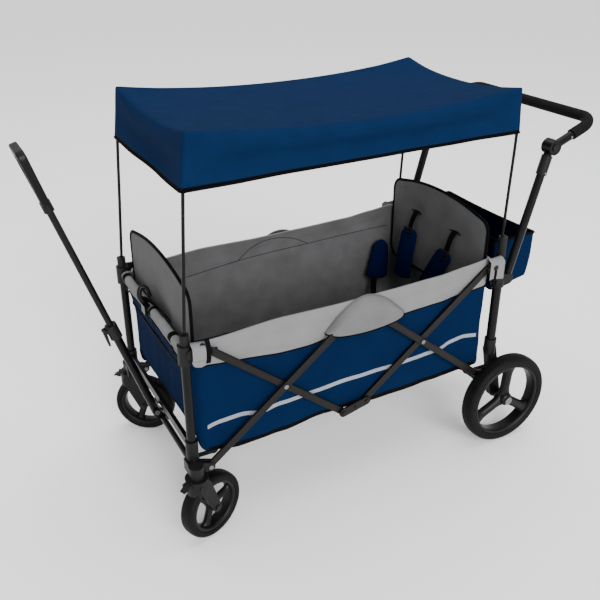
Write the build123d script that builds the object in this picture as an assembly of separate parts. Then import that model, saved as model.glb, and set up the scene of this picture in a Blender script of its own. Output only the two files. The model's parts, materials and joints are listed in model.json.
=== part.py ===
from build123d import *
from math import atan2, cos, degrees, hypot, radians, sin, tan
import os

# Folding push and pull wagon. Millimetres, +X forward (the pull handle's end), +Y left, +Z up.
# The origin is on the ground, under the middle of the side linkage.

# ---- driving dimensions -------------------------------------------------------------------
# corner posts
POST_Y = 278.5
FRONT_POST_X = 518.0
FRONT_POST_R = 12.5
FRONT_POST_Z = (250.0, 571.6)
REAR_POST_X = -527.0
REAR_POST_R = 15.0
REAR_POST_Z = (322.0, 560.0)
POST_WALL = 2.0
SLIDE_GAP = 0.5            # between a post's bore and the tube that slides in it
INNER_TUBE_FOOT_Z = 300.0

# side linkage: two crossed pairs of bars on each side, in two layers
FOOT_PIN = (475.0, 235.0)  # front foot pivot, x and z; the rear one mirrors it
BAR_ANGLE = 38.5           # slope of every bar with the wagon open
CROSS_RUN = 240.0          # foot pivot to crossing, along x
HUB_RUN = 195.0            # crossing to hub pivot, along x
REAR_LIFT = 20.0           # the rear pair sits this much higher
FOLD_ANGLE = 43.0          # turn of every bar from open to folded
FLOOR_RATIO = 2.0          # floor halves turn this much faster than the bars
BAR_WIDTH = 22.0
BAR_EDGE_R = 2.5           # rounding of the bars' and hub plates' edges
INNER_LAYER = (281.0, 290.0)
OUTER_LAYER = (291.0, 300.0)
PIN_R = 4.0
RUNNING = 0.08             # radial clearance of every turning fit
HEAD_R = 7.0
HEAD_T = 2.5

# wheels
FRONT_WHEEL_R = 101.6
FRONT_WHEEL_W = 46.0
REAR_WHEEL_R = 159.0
REAR_WHEEL_W = 52.0
REAR_AXLE = (-565.0, 159.0)
REAR_WHEEL_Y = 330.0
REAR_AXLE_R = 6.0
CASTER_AXIS = (522.0, 314.0)
CASTER_TRAIL = 45.0
CASTER_YAW = {"left": 22.0, "right": -35.0}
CASTER_BOLT_R = 5.0
STEM_R = 8.0
STEM_TOP = 255.0
FOOT_Z = (225.0, 262.0)
CROWN_R = 31.5
CROWN_Z = (176.0, 224.7)
FORK_ARM_T = 6.5

# floor
FLOOR_HINGE = (450.0, 262.0)   # front hinge, x and z; the rear one mirrors it
FLOOR_TUBE_R = 8.0
FLOOR_HALF_W = 258.0
FLOOR_RAIL_Z = 280.0
FLOOR_RAIL_R = 7.5
FLOOR_RAIL_Y = 236.0
MAT_Z = (288.0, 316.0)
CENTRE_HALF_X = 34.0

# basket fabric
WALL_Y = (271.0, 276.0)
WALL_X = (494.0, 498.0)
WALL_Z = (268.0, 640.0)
DOME_Y = (304.6, 308.0)
DOME_HALF_X = 112.0
DOME_FOOT_Z = 547.0

# backrests
BACKREST_X = (480.0, 492.0)
BACKREST_HALF_W = 258.0
BACKREST_FOOT_Z = 480.0
BACKREST_CORNER_R = 40.0
FRONT_BACKREST_TOP = (748.0, 790.0)   # at the sides, in the middle
REAR_BACKREST_TOP = (765.0, 806.0)
PAD_Y = (86.0, 138.0)
PAD_Z = (484.0, 628.0)
REAR_RAIL_Z = 628.0
FRONT_RAIL_Z = 608.0
TOP_RAIL_R = 9.0

# canopy
CANOPY_TOP_X = (-534.0, 484.0)
CANOPY_HEM_X = (-544.0, 501.0)
CANOPY_HALF_W = 283.0
CANOPY_Z = (1044.0, 1184.0)
CANOPY_SAG = 38.0
CANOPY_T = 3.0
ROD_R = 4.5

# pull handle: lengths run along the leaning tube, from its foot pivot
PULL_PIVOT = (534.0, 262.0)
PULL_LEAN = 18.0
PULL_OUTER_R = 12.5
PULL_INNER_R = 9.5
PULL_OUTER_TOP = 330.0
PULL_TRAVEL = 275.0
PULL_INNER = (20.0 + PULL_TRAVEL, 742.0)
PULL_COLLAR = (292.0, 338.0)
GRIP_SOCKET = (716.0, 760.0)
GRIP_TOP = 900.0
GRIP_HALF_W = 60.0

# push handle
PUSH_FOOT = (-556.0, 574.0)
PUSH_HINGE = (-668.0, 994.0)
PUSH_Y = 279.0
PUSH_R = 13.0
PUSH_ARM_ANGLE = 22.0
PUSH_ARM = 172.0
PUSH_BEND_R = 52.0
PUSH_GRIP_R = 17.0
PUSH_HUB_R = 23.0
PUSH_PIN_R = 6.0

# rear bag
BAG_X = (-716.0, -549.0)
BAG_HALF_W = 230.0
BAG_Z = (505.0, 694.0)
BAG_T = 4.0


# ---- worked-out places --------------------------------------------------------------------
CROSS_RISE = CROSS_RUN * tan(radians(BAR_ANGLE))
HUB_RISE = HUB_RUN * tan(radians(BAR_ANGLE))
BAR_LENGTH = (CROSS_RUN + HUB_RUN) / cos(radians(BAR_ANGLE))


def linkage_points(end, lift):
    """Pivots of one crossed pair, as x and z. end is +1 at the front, -1 at the rear."""
    foot = (end * FOOT_PIN[0], FOOT_PIN[1] + lift)
    cross = (foot[0] - end * CROSS_RUN, foot[1] + CROSS_RISE)
    hub_x = cross[0] - end * HUB_RUN
    return {
        "foot": foot,
        "cross": cross,
        "top": (foot[0], foot[1] + 2 * CROSS_RISE),
        "hub_top": (hub_x, cross[1] + HUB_RISE),
        "hub_bottom": (hub_x, cross[1] - HUB_RISE),
    }


FRONT = linkage_points(1, 0.0)
REAR = linkage_points(-1, REAR_LIFT)


def floor_reach():
    """The longest floor half that clears the other one all through the fold."""
    inset = FOOT_PIN[0] - FLOOR_HINGE[0]
    reach = []
    for step in range(101):
        turn = FOLD_ANGLE * step / 100
        half_span = BAR_LENGTH * cos(radians(BAR_ANGLE + turn)) + FRONT["hub_top"][0]
        reach.append((half_span - inset) / cos(radians(FLOOR_RATIO * turn)))
    return min(reach)


FLOOR_END_X = FLOOR_HINGE[0] - floor_reach() + 2
PULL_DIR = (sin(radians(PULL_LEAN)), 0.0, cos(radians(PULL_LEAN)))
ARM_DIR = (-cos(radians(PUSH_ARM_ANGLE)), 0.0, sin(radians(PUSH_ARM_ANGLE)))


def on_pull(s, y=0.0, forward=0.0):
    """A point on the pull handle: s along the tube, forward at right angles to it."""
    x = PULL_PIVOT[0] + s * PULL_DIR[0] + forward * PULL_DIR[2]
    z = PULL_PIVOT[1] + s * PULL_DIR[2] - forward * PULL_DIR[0]
    return (x, y, z)


# ---- shape helpers ------------------------------------------------------------------------
def block(x, y, z):
    """A box from three (low, high) pairs."""
    middle = Pos((x[0] + x[1]) / 2, (y[0] + y[1]) / 2, (z[0] + z[1]) / 2)
    return middle * Box(x[1] - x[0], y[1] - y[0], z[1] - z[0])


def rod(p, q, r):
    """A round bar between two points."""
    p, q = Vector(*p), Vector(*q)
    bottom = (Align.CENTER, Align.CENTER, Align.MIN)
    return Plane(origin=p, z_dir=q - p) * Cylinder(r, (q - p).length, align=bottom)


def along_y(at, y, r):
    """A round bar along Y at x and z."""
    return rod((at[0], y[0], at[1]), (at[0], y[1], at[1]), r)


def along_z(x, y, z, r):
    """A round bar along Z."""
    return rod((x, y, z[0]), (x, y, z[1]), r)


def slab(outline, y):
    """An outline drawn in x and z, given thickness along Y."""
    plane = Plane(origin=(0, y[1], 0), x_dir=(1, 0, 0), z_dir=(0, -1, 0))
    return extrude(plane * outline, amount=y[1] - y[0])


def rounded_slab(outline, y):
    """A slab whose two faces have rounded rims."""
    shape = slab(outline, y)
    layers = shape.edges().group_by(Axis.Y)
    return fillet(layers[0] + layers[-1], BAR_EDGE_R)


def panel(outline, x):
    """An outline drawn in y and z, given thickness along X."""
    plane = Plane(origin=(x[0], 0, 0), x_dir=(0, 1, 0), z_dir=(1, 0, 0))
    return extrude(plane * outline, amount=x[1] - x[0])


def taper(a, ra, b, rb):
    """The outline of a belt round two circles."""
    edges = (Pos(*a) * Circle(ra)).edges() + (Pos(*b) * Circle(rb)).edges()
    return make_hull(edges)


def both(shape):
    """A shape with its mirror image on the right side, as separate solids."""
    return Compound(children=[*solids_of(shape), *solids_of(mirror(shape, about=Plane.XZ))])


def solids_of(shape):
    return list(shape.solids())


def group(*shapes):
    return Compound(children=[solid for shape in shapes for solid in solids_of(shape)])


def pin(at, y, head=HEAD_R):
    """A rivet along Y with a head at each end, outside the stretch y."""
    gap = 0.2
    shank = along_y(at, (y[0] - gap, y[1] + gap), PIN_R)
    inner = along_y(at, (y[0] - gap - HEAD_T, y[0] - gap), head)
    outer = along_y(at, (y[1] + gap, y[1] + gap + HEAD_T), head)
    return shank + inner + outer


def holes(shape, points, y, r):
    for at in points:
        shape = shape - along_y(at, (y[0] - 1, y[1] + 1), r)
    return shape


# ---- side linkage -------------------------------------------------------------------------
def bar(a, b, layer, running, fixed=()):
    """A flat bar between two pivots, with turning holes and holes that hold their own pin."""
    length = hypot(a[0] - b[0], a[1] - b[1])
    tilt = degrees(atan2(b[1] - a[1], b[0] - a[0]))
    outline = (
        Pos((a[0] + b[0]) / 2, (a[1] + b[1]) / 2)
        * Rot(0, 0, tilt)
        * SlotCenterToCenter(length, BAR_WIDTH)
    )
    shape = rounded_slab(outline, layer)
    shape = holes(shape, running, layer, PIN_R + RUNNING)
    return holes(shape, fixed, layer, PIN_R)


def hub_plate(a, b, layer):
    return holes(rounded_slab(taper(a, 14, b, 14), layer), (a, b), layer, PIN_R)


def linkage():
    stack = (INNER_LAYER[0], OUTER_LAYER[1])
    lower = (FRONT["hub_bottom"], REAR["hub_bottom"])
    upper = (FRONT["hub_top"], REAR["hub_top"])
    middle = ((lower[0][0] + lower[1][0]) / 2, (lower[0][1] + lower[1][1]) / 2)
    middle_rivet = along_y(middle, (OUTER_LAYER[0], OUTER_LAYER[1] + HEAD_T), PIN_R)
    parts = {
        "front_rising_bars": bar(
            FRONT["foot"], FRONT["hub_top"], OUTER_LAYER,
            [FRONT["foot"], FRONT["hub_top"]], [FRONT["cross"]],
        ),
        "front_falling_bars": bar(
            FRONT["top"], FRONT["hub_bottom"], INNER_LAYER,
            [FRONT["top"], FRONT["cross"], FRONT["hub_bottom"]],
        ),
        "rear_rising_bars": bar(
            REAR["hub_bottom"], REAR["top"], INNER_LAYER,
            [REAR["hub_bottom"], REAR["cross"], REAR["top"]],
        ),
        "rear_falling_bars": bar(
            REAR["hub_top"], REAR["foot"], OUTER_LAYER,
            [REAR["hub_top"], REAR["foot"]], [REAR["cross"]],
        ),
        "front_cross_rivets": pin(FRONT["cross"], stack),
        "rear_cross_rivets": pin(REAR["cross"], stack),
        "upper_hubs": group(
            hub_plate(*upper, INNER_LAYER), pin(upper[0], stack), pin(upper[1], stack)
        ),
        "lower_hubs": group(
            hub_plate(*lower, OUTER_LAYER) - middle_rivet,
            pin(lower[0], stack), pin(lower[1], stack), middle_rivet,
        ),
    }
    tube = along_y((middle[0], middle[1] - 2), (-OUTER_LAYER[0], OUTER_LAYER[0]), 6)
    return {name: both(shape) for name, shape in parts.items()} | {"centre_cross_tube": tube}


# ---- wheels and casters -------------------------------------------------------------------
def tyre(r, width, depth):
    """A rounded tread, turned about Y at the origin."""
    outline = Pos(r - depth / 2, 0) * Rectangle(depth, width)
    rounded = fillet(outline.vertices().filter_by_position(Axis.X, r - 1, r + 1), width * 0.36)
    return revolve(rounded, Axis.Y)


def rim(r, width, hub_r, spoke_r, bore_r, turn):
    """A ring, a hub and three round spokes about Y, with a bore for the axle."""
    wall = 9.0
    ring = revolve(Pos(r - wall / 2, 0) * Rectangle(wall, width * 0.8), Axis.Y)
    hub = rod((0, -width / 2, 0), (0, width / 2, 0), hub_r)
    shape = ring + hub
    for n in range(3):
        a = radians(turn + 120 * n)
        reach = r - wall / 2
        shape += rod((0, 0, 0), (reach * cos(a), 0, reach * sin(a)), spoke_r)
    return shape - rod((0, -width, 0), (0, width, 0), bore_r)


def rear_wheel(side, sign):
    at = Pos(REAR_AXLE[0], sign * REAR_WHEEL_Y, REAR_AXLE[1])
    depth = 30.0
    return {
        f"rear_tyre_{side}": at * tyre(REAR_WHEEL_R, REAR_WHEEL_W, depth),
        f"rear_rim_{side}": at * rim(
            REAR_WHEEL_R - depth, REAR_WHEEL_W, 21, 16, REAR_AXLE_R + RUNNING, 20
        ),
    }


def fork():
    """A caster fork about its own stem axis, trailing towards -X, with the ground at z = 0."""
    slot = (-FRONT_WHEEL_W / 2 - 1.5, FRONT_WHEEL_W / 2 + 1.5)
    arm = (slot[1], slot[1] + FORK_ARM_T)
    axle = (-CASTER_TRAIL, FRONT_WHEEL_R)
    shape = along_z(0, 0, CROWN_Z, CROWN_R)
    shape += along_z(0, 0, (CROWN_Z[1] - 5, CROWN_Z[1]), CROWN_R + 2)
    outline = taper((-6, CROWN_Z[1] - 27), 22, axle, 14)
    shape += slab(outline, arm) + slab(outline, (-arm[1], -arm[0]))
    # the wheel turns inside this slot, under a solid crown
    shape -= along_y(axle, slot, FRONT_WHEEL_R + 3)
    shape += along_z(0, 0, (CROWN_Z[1] - 1, STEM_TOP), STEM_R)
    return shape - along_y(axle, (-60, 60), CASTER_BOLT_R)


def caster(side, sign):
    """One swivelling front wheel: fork, lock tab, wheel bolt, rim and tyre."""
    at = Pos(CASTER_AXIS[0], sign * CASTER_AXIS[1], 0) * Rot(0, 0, CASTER_YAW[side])
    hub = Pos(-CASTER_TRAIL, 0, FRONT_WHEEL_R)
    depth = 22.0
    half = FRONT_WHEEL_W / 2 + 1.5 + FORK_ARM_T
    axle = (-CASTER_TRAIL, FRONT_WHEEL_R)
    bolt = along_y(axle, (-half, half), CASTER_BOLT_R)
    bolt += along_y(axle, (half, half + 3), 9) + along_y(axle, (-half - 3, -half), 9)
    return {
        f"caster_fork_{side}": group(at * (fork() + lock_ears()), at * bolt, at * lock_pin()),
        f"front_rim_{side}": at * hub * rim(
            FRONT_WHEEL_R - depth, FRONT_WHEEL_W, 15, 11, CASTER_BOLT_R + RUNNING, 50
        ),
        f"front_tyre_{side}": at * hub * tyre(FRONT_WHEEL_R, FRONT_WHEEL_W, depth),
        f"caster_lock_{side}": at * lock_tab(),
    }


LOCK_PIVOT = (CROWN_R + 7.5, 212.0)


def lock_tab():
    """A pointed foot tab hinged on the front of the crown."""
    half = 9.0
    outline = taper(LOCK_PIVOT, 4.5, (LOCK_PIVOT[0] + 16, LOCK_PIVOT[1] - 7), 1.5)
    return slab(outline, (-half, half)) - along_y(LOCK_PIVOT, (-half - 1, half + 1), 2 + RUNNING)


def lock_ears():
    """Two ears on the front of the crown that hold the lock tab's pin."""
    x = (CROWN_R - 1, LOCK_PIVOT[0] + 4)
    ears = block(x, (9.4, 13), (205, 219)) + block(x, (-13, -9.4), (205, 219))
    return ears - along_y(LOCK_PIVOT, (-20, 20), 2)


def lock_pin():
    return along_y(LOCK_PIVOT, (-13, 13), 2)


# ---- front base ---------------------------------------------------------------------------
def front_foot():
    """The left foot casting: post socket, caster socket, linkage ears and floor arm."""
    x, y = CASTER_AXIS
    shape = block((500, 540), (264, 300), (FOOT_Z[0] + 2, FOOT_Z[1]))
    shape += along_z(x, y, FOOT_Z, 21)
    shape += along_z(FRONT_POST_X, POST_Y, (FOOT_Z[1] - 2, 325), FRONT_POST_R + 5)
    shape += slab(taper(FRONT["foot"], 13, (512, 246), 15), INNER_LAYER)
    shape += slab(taper(FRONT["foot"], 13, (512, 246), 15), (301, 306))
    arm = (262, 270)
    shape += block((FLOOR_HINGE[0], 505), arm, (FLOOR_HINGE[1] - 10, FLOOR_HINGE[1]))
    shape += along_y(FLOOR_HINGE, arm, 12)
    shape -= along_z(FRONT_POST_X, POST_Y, (FRONT_POST_Z[0], 400), FRONT_POST_R)
    shape -= along_z(x, y, (FOOT_Z[0] - 10, STEM_TOP + 2), STEM_R + RUNNING)
    shape -= along_y(FRONT["foot"], (270, 320), PIN_R)
    return shape - along_y(FLOOR_HINGE, (250, 280), FLOOR_TUBE_R)


def front_base():
    bore = FRONT_POST_R - POST_WALL
    post = along_z(FRONT_POST_X, POST_Y, FRONT_POST_Z, FRONT_POST_R)
    post -= along_z(FRONT_POST_X, POST_Y, (INNER_TUBE_FOOT_Z - 8, 600), bore)
    lower = (FRONT_POST_X, 240)
    upper = block((FRONT_POST_X - 6, FRONT_POST_X + 6), (-261, 261), (288, 312))
    socket = along_z(FRONT_POST_X, POST_Y, (250, 330), FRONT_POST_R + 5)
    upper -= socket + mirror(socket, about=Plane.XZ)
    lug = slab(taper(lower, 13, PULL_PIVOT, 11), (14.5, 20))
    lug -= along_y(lower, (0, 40), 9) + along_y(PULL_PIVOT, (0, 40), 5)
    pull_pin = along_y(PULL_PIVOT, (-20, 20), 5)
    pull_pin += along_y(PULL_PIVOT, (20, 23), 8) + along_y(PULL_PIVOT, (-23, -20), 8)
    return {
        "front_posts": both(post),
        "front_feet": both(front_foot()),
        "front_base_pins": group(both(pin(FRONT["foot"], (INNER_LAYER[0], 306))), pull_pin),
        "front_cross_tubes": group(
            along_y(lower, (-264, 264), 9), upper, both(lug),
            along_y(FLOOR_HINGE, (-270, 270), FLOOR_TUBE_R),
        ),
    }


# ---- rear base ----------------------------------------------------------------------------
def rear_foot():
    """The left rear casting: post socket, axle boss, linkage ear and floor arm."""
    web = (268, INNER_LAYER[1])
    hinge = (-FLOOR_HINGE[0], FLOOR_HINGE[1])
    shape = slab(taper((REAR_POST_X, 335), 19, REAR_AXLE, 20), web)
    shape += along_z(REAR_POST_X, POST_Y, (318, 372), REAR_POST_R + 4.5)
    shape += slab(taper(REAR["foot"], 13, (REAR_POST_X - 4, 232), 20), INNER_LAYER)
    arm = (262, 270)
    shape += block((-535, hinge[0]), arm, (hinge[1] - 10, hinge[1]))
    shape += along_y(hinge, arm, 12)
    shape += along_y(REAR_AXLE, (262, 300), 16)
    shape -= along_z(REAR_POST_X, POST_Y, (REAR_POST_Z[0], 400), REAR_POST_R)
    shape -= along_y(REAR["foot"], (270, 320), PIN_R)
    shape -= along_y(REAR_AXLE, (250, 320), REAR_AXLE_R)
    return shape - along_y(hinge, (250, 280), FLOOR_TUBE_R)


def rear_base():
    bore = REAR_POST_R - POST_WALL
    post = along_z(REAR_POST_X, POST_Y, REAR_POST_Z, REAR_POST_R)
    post -= along_z(REAR_POST_X, POST_Y, (REAR_POST_Z[0] + 8, 600), bore)
    end = REAR_WHEEL_Y + REAR_WHEEL_W / 2
    axle = along_y(REAR_AXLE, (-end - 1, end + 1), REAR_AXLE_R)
    sleeve = along_y(REAR_AXLE, (-262, 262), 12) - along_y(REAR_AXLE, (-270, 270), REAR_AXLE_R)
    cap = along_y(REAR_AXLE, (end + 1, end + 5), 13)
    hinge = (-FLOOR_HINGE[0], FLOOR_HINGE[1])
    return {
        "rear_posts": both(post),
        "rear_feet": both(rear_foot()),
        "rear_axle_and_pins": group(
            axle, both(cap), both(pin(REAR["foot"], (INNER_LAYER[0], OUTER_LAYER[1])))
        ),
        "rear_cross_tubes": group(sleeve, along_y(hinge, (-270, 270), FLOOR_TUBE_R)),
    }


def brake_pedal():
    """A foot lever that turns on the middle of the axle sleeve."""
    reach = (REAR_AXLE[0] - 62, REAR_AXLE[1] + 34)
    half = 26.0
    shape = along_y(REAR_AXLE, (-half, half), 18)
    shape += slab(taper(REAR_AXLE, 13, reach, 7), (-half, half))
    return shape - along_y(REAR_AXLE, (-40, 40), 12 + RUNNING)


# ---- floor --------------------------------------------------------------------------------
def floor_half(end):
    """Frame and mat of one floor half. end is +1 at the front, -1 at the rear."""
    hinge = (end * FLOOR_HINGE[0], FLOOR_HINGE[1])
    outer, inner = hinge[0] - end * 14, end * (FLOOR_END_X + 8)
    z, r = FLOOR_RAIL_Z, FLOOR_RAIL_R
    frame = rod((outer, -FLOOR_RAIL_Y, z), (outer, FLOOR_RAIL_Y, z), r)
    frame += rod((inner, -FLOOR_RAIL_Y, z), (inner, FLOOR_RAIL_Y, z), r)
    for y in (-FLOOR_RAIL_Y, FLOOR_RAIL_Y):
        loop = slab(taper(hinge, 12, (outer, z), r), (y - 7, y + 7))
        frame += rod((outer, y, z), (inner, y, z), r) + loop
        frame -= along_y(hinge, (y - 20, y + 20), FLOOR_TUBE_R + RUNNING)
    span = sorted((hinge[0] + end * 6, end * FLOOR_END_X))
    mat = block(span, (-FLOOR_HALF_W, FLOOR_HALF_W), MAT_Z)
    name = "front" if end > 0 else "rear"
    return {f"{name}_floor_frame": frame - mat, f"{name}_floor_mat": mat}


def centre_mat():
    """The strip of floor between the two halves, carried by the lower hubs' cross tube."""
    return block((-CENTRE_HALF_X, CENTRE_HALF_X), (-FLOOR_HALF_W, FLOOR_HALF_W), MAT_Z)


# ---- parts that rise as the wagon folds -----------------------------------------------------
def arch(half_w, foot_z, side_z, mid_z):
    """A panel outline with rounded corners and an arched top, in y and z."""
    rise = mid_z - side_z
    radius = (half_w**2 + rise**2) / (2 * rise)
    disc = Pos(0, mid_z - radius) * Circle(radius)
    sheet = RectangleRounded(2 * half_w, mid_z - foot_z, BACKREST_CORNER_R)
    return Pos(0, (foot_z + mid_z) / 2) * sheet & disc


def canopy_bow(foot, knee, head):
    """Two uprights joined by a bow under the canopy's end."""
    upright = rod(foot, knee, ROD_R) + Pos(*knee) * Sphere(ROD_R) + rod(knee, head, ROD_R)
    upright += Pos(*head) * Sphere(ROD_R)
    bow = rod(head, (head[0], -head[1], head[2]), ROD_R)
    return upright + mirror(upright, about=Plane.XZ) + bow


def front_top():
    slide_r = FRONT_POST_R - POST_WALL - SLIDE_GAP
    tube = along_z(FRONT_POST_X, POST_Y, (INNER_TUBE_FOOT_Z, 640), slide_r)
    sleeve = along_z(FRONT_POST_X, POST_Y, (572, 628), 19)
    sleeve += slab(taper(FRONT["top"], 12, (508, 604), 14), OUTER_LAYER)
    sleeve -= tube + along_y(FRONT["top"], (280, 310), PIN_R)
    bow = canopy_bow(
        (FRONT_POST_X - 1, POST_Y, 646), (489.0, 273.5, CANOPY_Z[0]), (474.0, 272.0, 1168.0)
    )
    socket = along_z(FRONT_POST_X, POST_Y, (628.2, 658), 13) - bow - tube
    centre = (FRONT_POST_X, FRONT_RAIL_Z)
    reach = POST_Y - 19
    rail = along_y(centre, (-reach, reach), TOP_RAIL_R)
    clip = block((centre[0] + 4, centre[0] + 22), (-16, 16), (centre[1] - 12, centre[1] + 14))
    backrest = arch(BACKREST_HALF_W, BACKREST_FOOT_Z, *FRONT_BACKREST_TOP)
    return {
        "front_top_sleeves": group(both(tube), both(sleeve), both(socket)),
        "front_top_pins": both(pin(FRONT["top"], (INNER_LAYER[0], OUTER_LAYER[1]))),
        "front_canopy_bow": bow,
        "front_top_rail": group(rail, clip - rail),
        "front_backrest": panel(backrest, BACKREST_X),
    }


def rear_collar():
    """The left rear top casting: post slide, push tube socket and linkage ear."""
    slide_r = REAR_POST_R - POST_WALL - SLIDE_GAP
    shape = along_z(REAR_POST_X, POST_Y, (562, 606), 20)
    shape += slab(taper((REAR_POST_X, 584), 20, (PUSH_FOOT[0], 586), 18), (264, 295))
    shape += slab(taper(REAR["top"], 12, (REAR_POST_X + 6, 596), 14), OUTER_LAYER)
    shape -= along_z(REAR_POST_X, POST_Y, (500, 620), slide_r)
    shape -= along_y(REAR["top"], (270, 320), PIN_R)
    return shape - push_tube()


def push_tube():
    """The left lower tube of the push handle, from the collar up to its hinge."""
    foot = (PUSH_FOOT[0], PUSH_Y, PUSH_FOOT[1])
    hinge = (PUSH_HINGE[0], PUSH_Y, PUSH_HINGE[1])
    return rod(foot, hinge, PUSH_R)


def push_lower():
    """The lower tube with its half of the hinge."""
    clear = along_y(PUSH_HINGE, (278.6, 320), PUSH_HUB_R + 0.5)
    behind = along_y(PUSH_HINGE, (240, 264), PUSH_HUB_R + 0.5)
    tube = push_tube() - clear - behind
    tube += along_y(PUSH_HINGE, (264, 278.6), PUSH_HUB_R)
    return tube - along_y(PUSH_HINGE, (250, 300), PUSH_PIN_R)


def push_sleeve():
    """A moulded sleeve over the top of the lower tube."""
    run = Vector(PUSH_HINGE[0] - PUSH_FOOT[0], 0, PUSH_HINGE[1] - PUSH_FOOT[1])
    foot = Vector(PUSH_FOOT[0], PUSH_Y, PUSH_FOOT[1])
    low, high = foot + run * 0.80, foot + run * 0.935
    shape = rod(tuple(low), tuple(high), PUSH_R + 3.5)
    return shape - push_tube()


def rear_top():
    slide_r = REAR_POST_R - POST_WALL - SLIDE_GAP
    tube = along_z(REAR_POST_X, POST_Y, (REAR_POST_Z[0] + 10, 640), slide_r)
    bow = canopy_bow(
        (REAR_POST_X, POST_Y, 716), (-533.0, 273.5, CANOPY_Z[0]), (-522.0, 272.0, 1168.0)
    )
    socket = along_z(REAR_POST_X, POST_Y, (664, 730), 14)
    socket = socket + along_z(REAR_POST_X, POST_Y, (640.2, 664), 9) - bow
    reach = POST_Y - slide_r + 2
    rail = along_y((REAR_POST_X + 3, REAR_RAIL_Z), (-reach, reach), TOP_RAIL_R)
    rail = rail - tube - mirror(tube, about=Plane.XZ)
    backrest = arch(BACKREST_HALF_W, BACKREST_FOOT_Z, *REAR_BACKREST_TOP)
    top_pin = pin(REAR["top"], (INNER_LAYER[0], OUTER_LAYER[1]))
    hinge_pin = along_y(PUSH_HINGE, (264, 292), PUSH_PIN_R)
    return {
        "rear_collars": group(both(tube), both(rear_collar()), both(socket)),
        "rear_top_pins": group(both(top_pin), both(hinge_pin)),
        "push_lower_tubes": both(push_lower()),
        "push_hinge_sleeves": both(push_sleeve()),
        "rear_canopy_bow": bow,
        "rear_top_rail": rail,
        "rear_backrest": panel(backrest, (-BACKREST_X[1], -BACKREST_X[0])),
        "rear_bag": rear_bag(),
        "harness_pads": harness_pads(),
    }


def rear_bag():
    """An open-topped bag with a slanted underside."""
    def outline(inset, top):
        x0, x1 = BAG_X[0] + inset, BAG_X[1] - inset
        z0 = BAG_Z[0] + inset
        return make_face(Polyline((x0, top), (x1, top), (x1, z0), (x0, z0 + 32), close=True))
    skin = slab(outline(0, BAG_Z[1]), (-BAG_HALF_W, BAG_HALF_W))
    hollow = slab(outline(BAG_T, BAG_Z[1] + 10), (-BAG_HALF_W + BAG_T, BAG_HALF_W - BAG_T))
    return skin - hollow


def push_handle():
    """The U-shaped upper bar with its hinge halves, its foam grip and the two buttons."""
    arm_y = 288.0
    hinge = Vector(PUSH_HINGE[0], arm_y, PUSH_HINGE[1])
    corner = hinge + Vector(*ARM_DIR) * PUSH_ARM
    other = Vector(corner.X, -corner.Y, corner.Z)
    far = Vector(hinge.X, -hinge.Y, hinge.Z)
    path = FilletPolyline(hinge, corner, other, far, radius=PUSH_BEND_R)
    start = Plane(origin=path @ 0, z_dir=path % 0)
    tube = sweep(start * (Circle(PUSH_R) - Circle(PUSH_R - 2)), path=path)
    hub_y = (279.0, 301.0)
    hub = along_y(PUSH_HINGE, hub_y, PUSH_HUB_R)
    keep_out = along_y(PUSH_HINGE, (240, 279), PUSH_HUB_R + 0.5)
    hub += mirror(hub, about=Plane.XZ)
    keep_out += mirror(keep_out, about=Plane.XZ)
    pocket = along_y(PUSH_HINGE, (293, 310), 11.3)
    pocket += along_y(PUSH_HINGE, (270, 294), PUSH_PIN_R + RUNNING)
    pocket += mirror(pocket, about=Plane.XZ)
    inset = Vector(*ARM_DIR) * (PUSH_ARM - 96)
    grip_path = FilletPolyline(hinge + inset, corner, other, far + inset, radius=PUSH_BEND_R)
    grip_start = Plane(origin=grip_path @ 0, z_dir=grip_path % 0)
    grip = sweep(grip_start * (Circle(PUSH_GRIP_R) - Circle(PUSH_R)), path=grip_path)
    button = along_y(PUSH_HINGE, (296.5, 303.5), 11)
    return {
        "push_handle_bar": tube - keep_out + hub - pocket,
        "push_handle_grip": grip,
        "push_button_left": button,
        "push_button_right": mirror(button, about=Plane.XZ),
    }


# ---- pull handle --------------------------------------------------------------------------
def beside_pull(outline, y):
    """An outline drawn along the pull tube and forward of it, given thickness along Y."""
    plane = Plane(origin=on_pull(0, y[0]), x_dir=PULL_DIR, z_dir=(0, 1, 0))
    return extrude(plane * outline, amount=y[1] - y[0])


def across_pull(at, half, r):
    return rod(on_pull(at[0], -half, at[1]), on_pull(at[0], half, at[1]), r)


def pull_handle():
    knuckle = along_y(PULL_PIVOT, (-14, 14), 13)
    outer = knuckle + rod(on_pull(0), on_pull(PULL_OUTER_TOP), PULL_OUTER_R)
    bore_r = PULL_INNER_R + SLIDE_GAP
    outer -= rod(on_pull(17), on_pull(PULL_OUTER_TOP + 5), bore_r)
    outer -= along_y(PULL_PIVOT, (-20, 20), 5 + RUNNING)
    collar = rod(on_pull(PULL_COLLAR[0]), on_pull(PULL_COLLAR[1]), 17.5)
    ear = taper(LEVER_PIVOT, 6, (LEVER_PIVOT[0], 6), 6)
    collar += beside_pull(ear, (8.4, 13)) + beside_pull(ear, (-13, -8.4))
    collar -= rod(on_pull(PULL_COLLAR[0] - 5), on_pull(PULL_OUTER_TOP), PULL_OUTER_R)
    collar -= rod(on_pull(PULL_OUTER_TOP - 1), on_pull(PULL_COLLAR[1] + 5), bore_r)
    lever_pin = across_pull(LEVER_PIVOT, 13, 2.5)
    inner = rod(on_pull(PULL_INNER[0]), on_pull(PULL_INNER[1]), PULL_INNER_R)
    inner -= rod(on_pull(PULL_INNER[0] - 5), on_pull(PULL_INNER[1] + 5), PULL_INNER_R - 1.5)
    return {
        "pull_outer_tube": outer,
        "pull_collar": group(collar - lever_pin, lever_pin),
        "pull_lever": pull_lever(),
        "pull_inner_tube": inner,
        "pull_grip": pull_grip(),
    }


LEVER_PIVOT = (326.0, 23.5)    # along the tube, and forward of its middle


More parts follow.
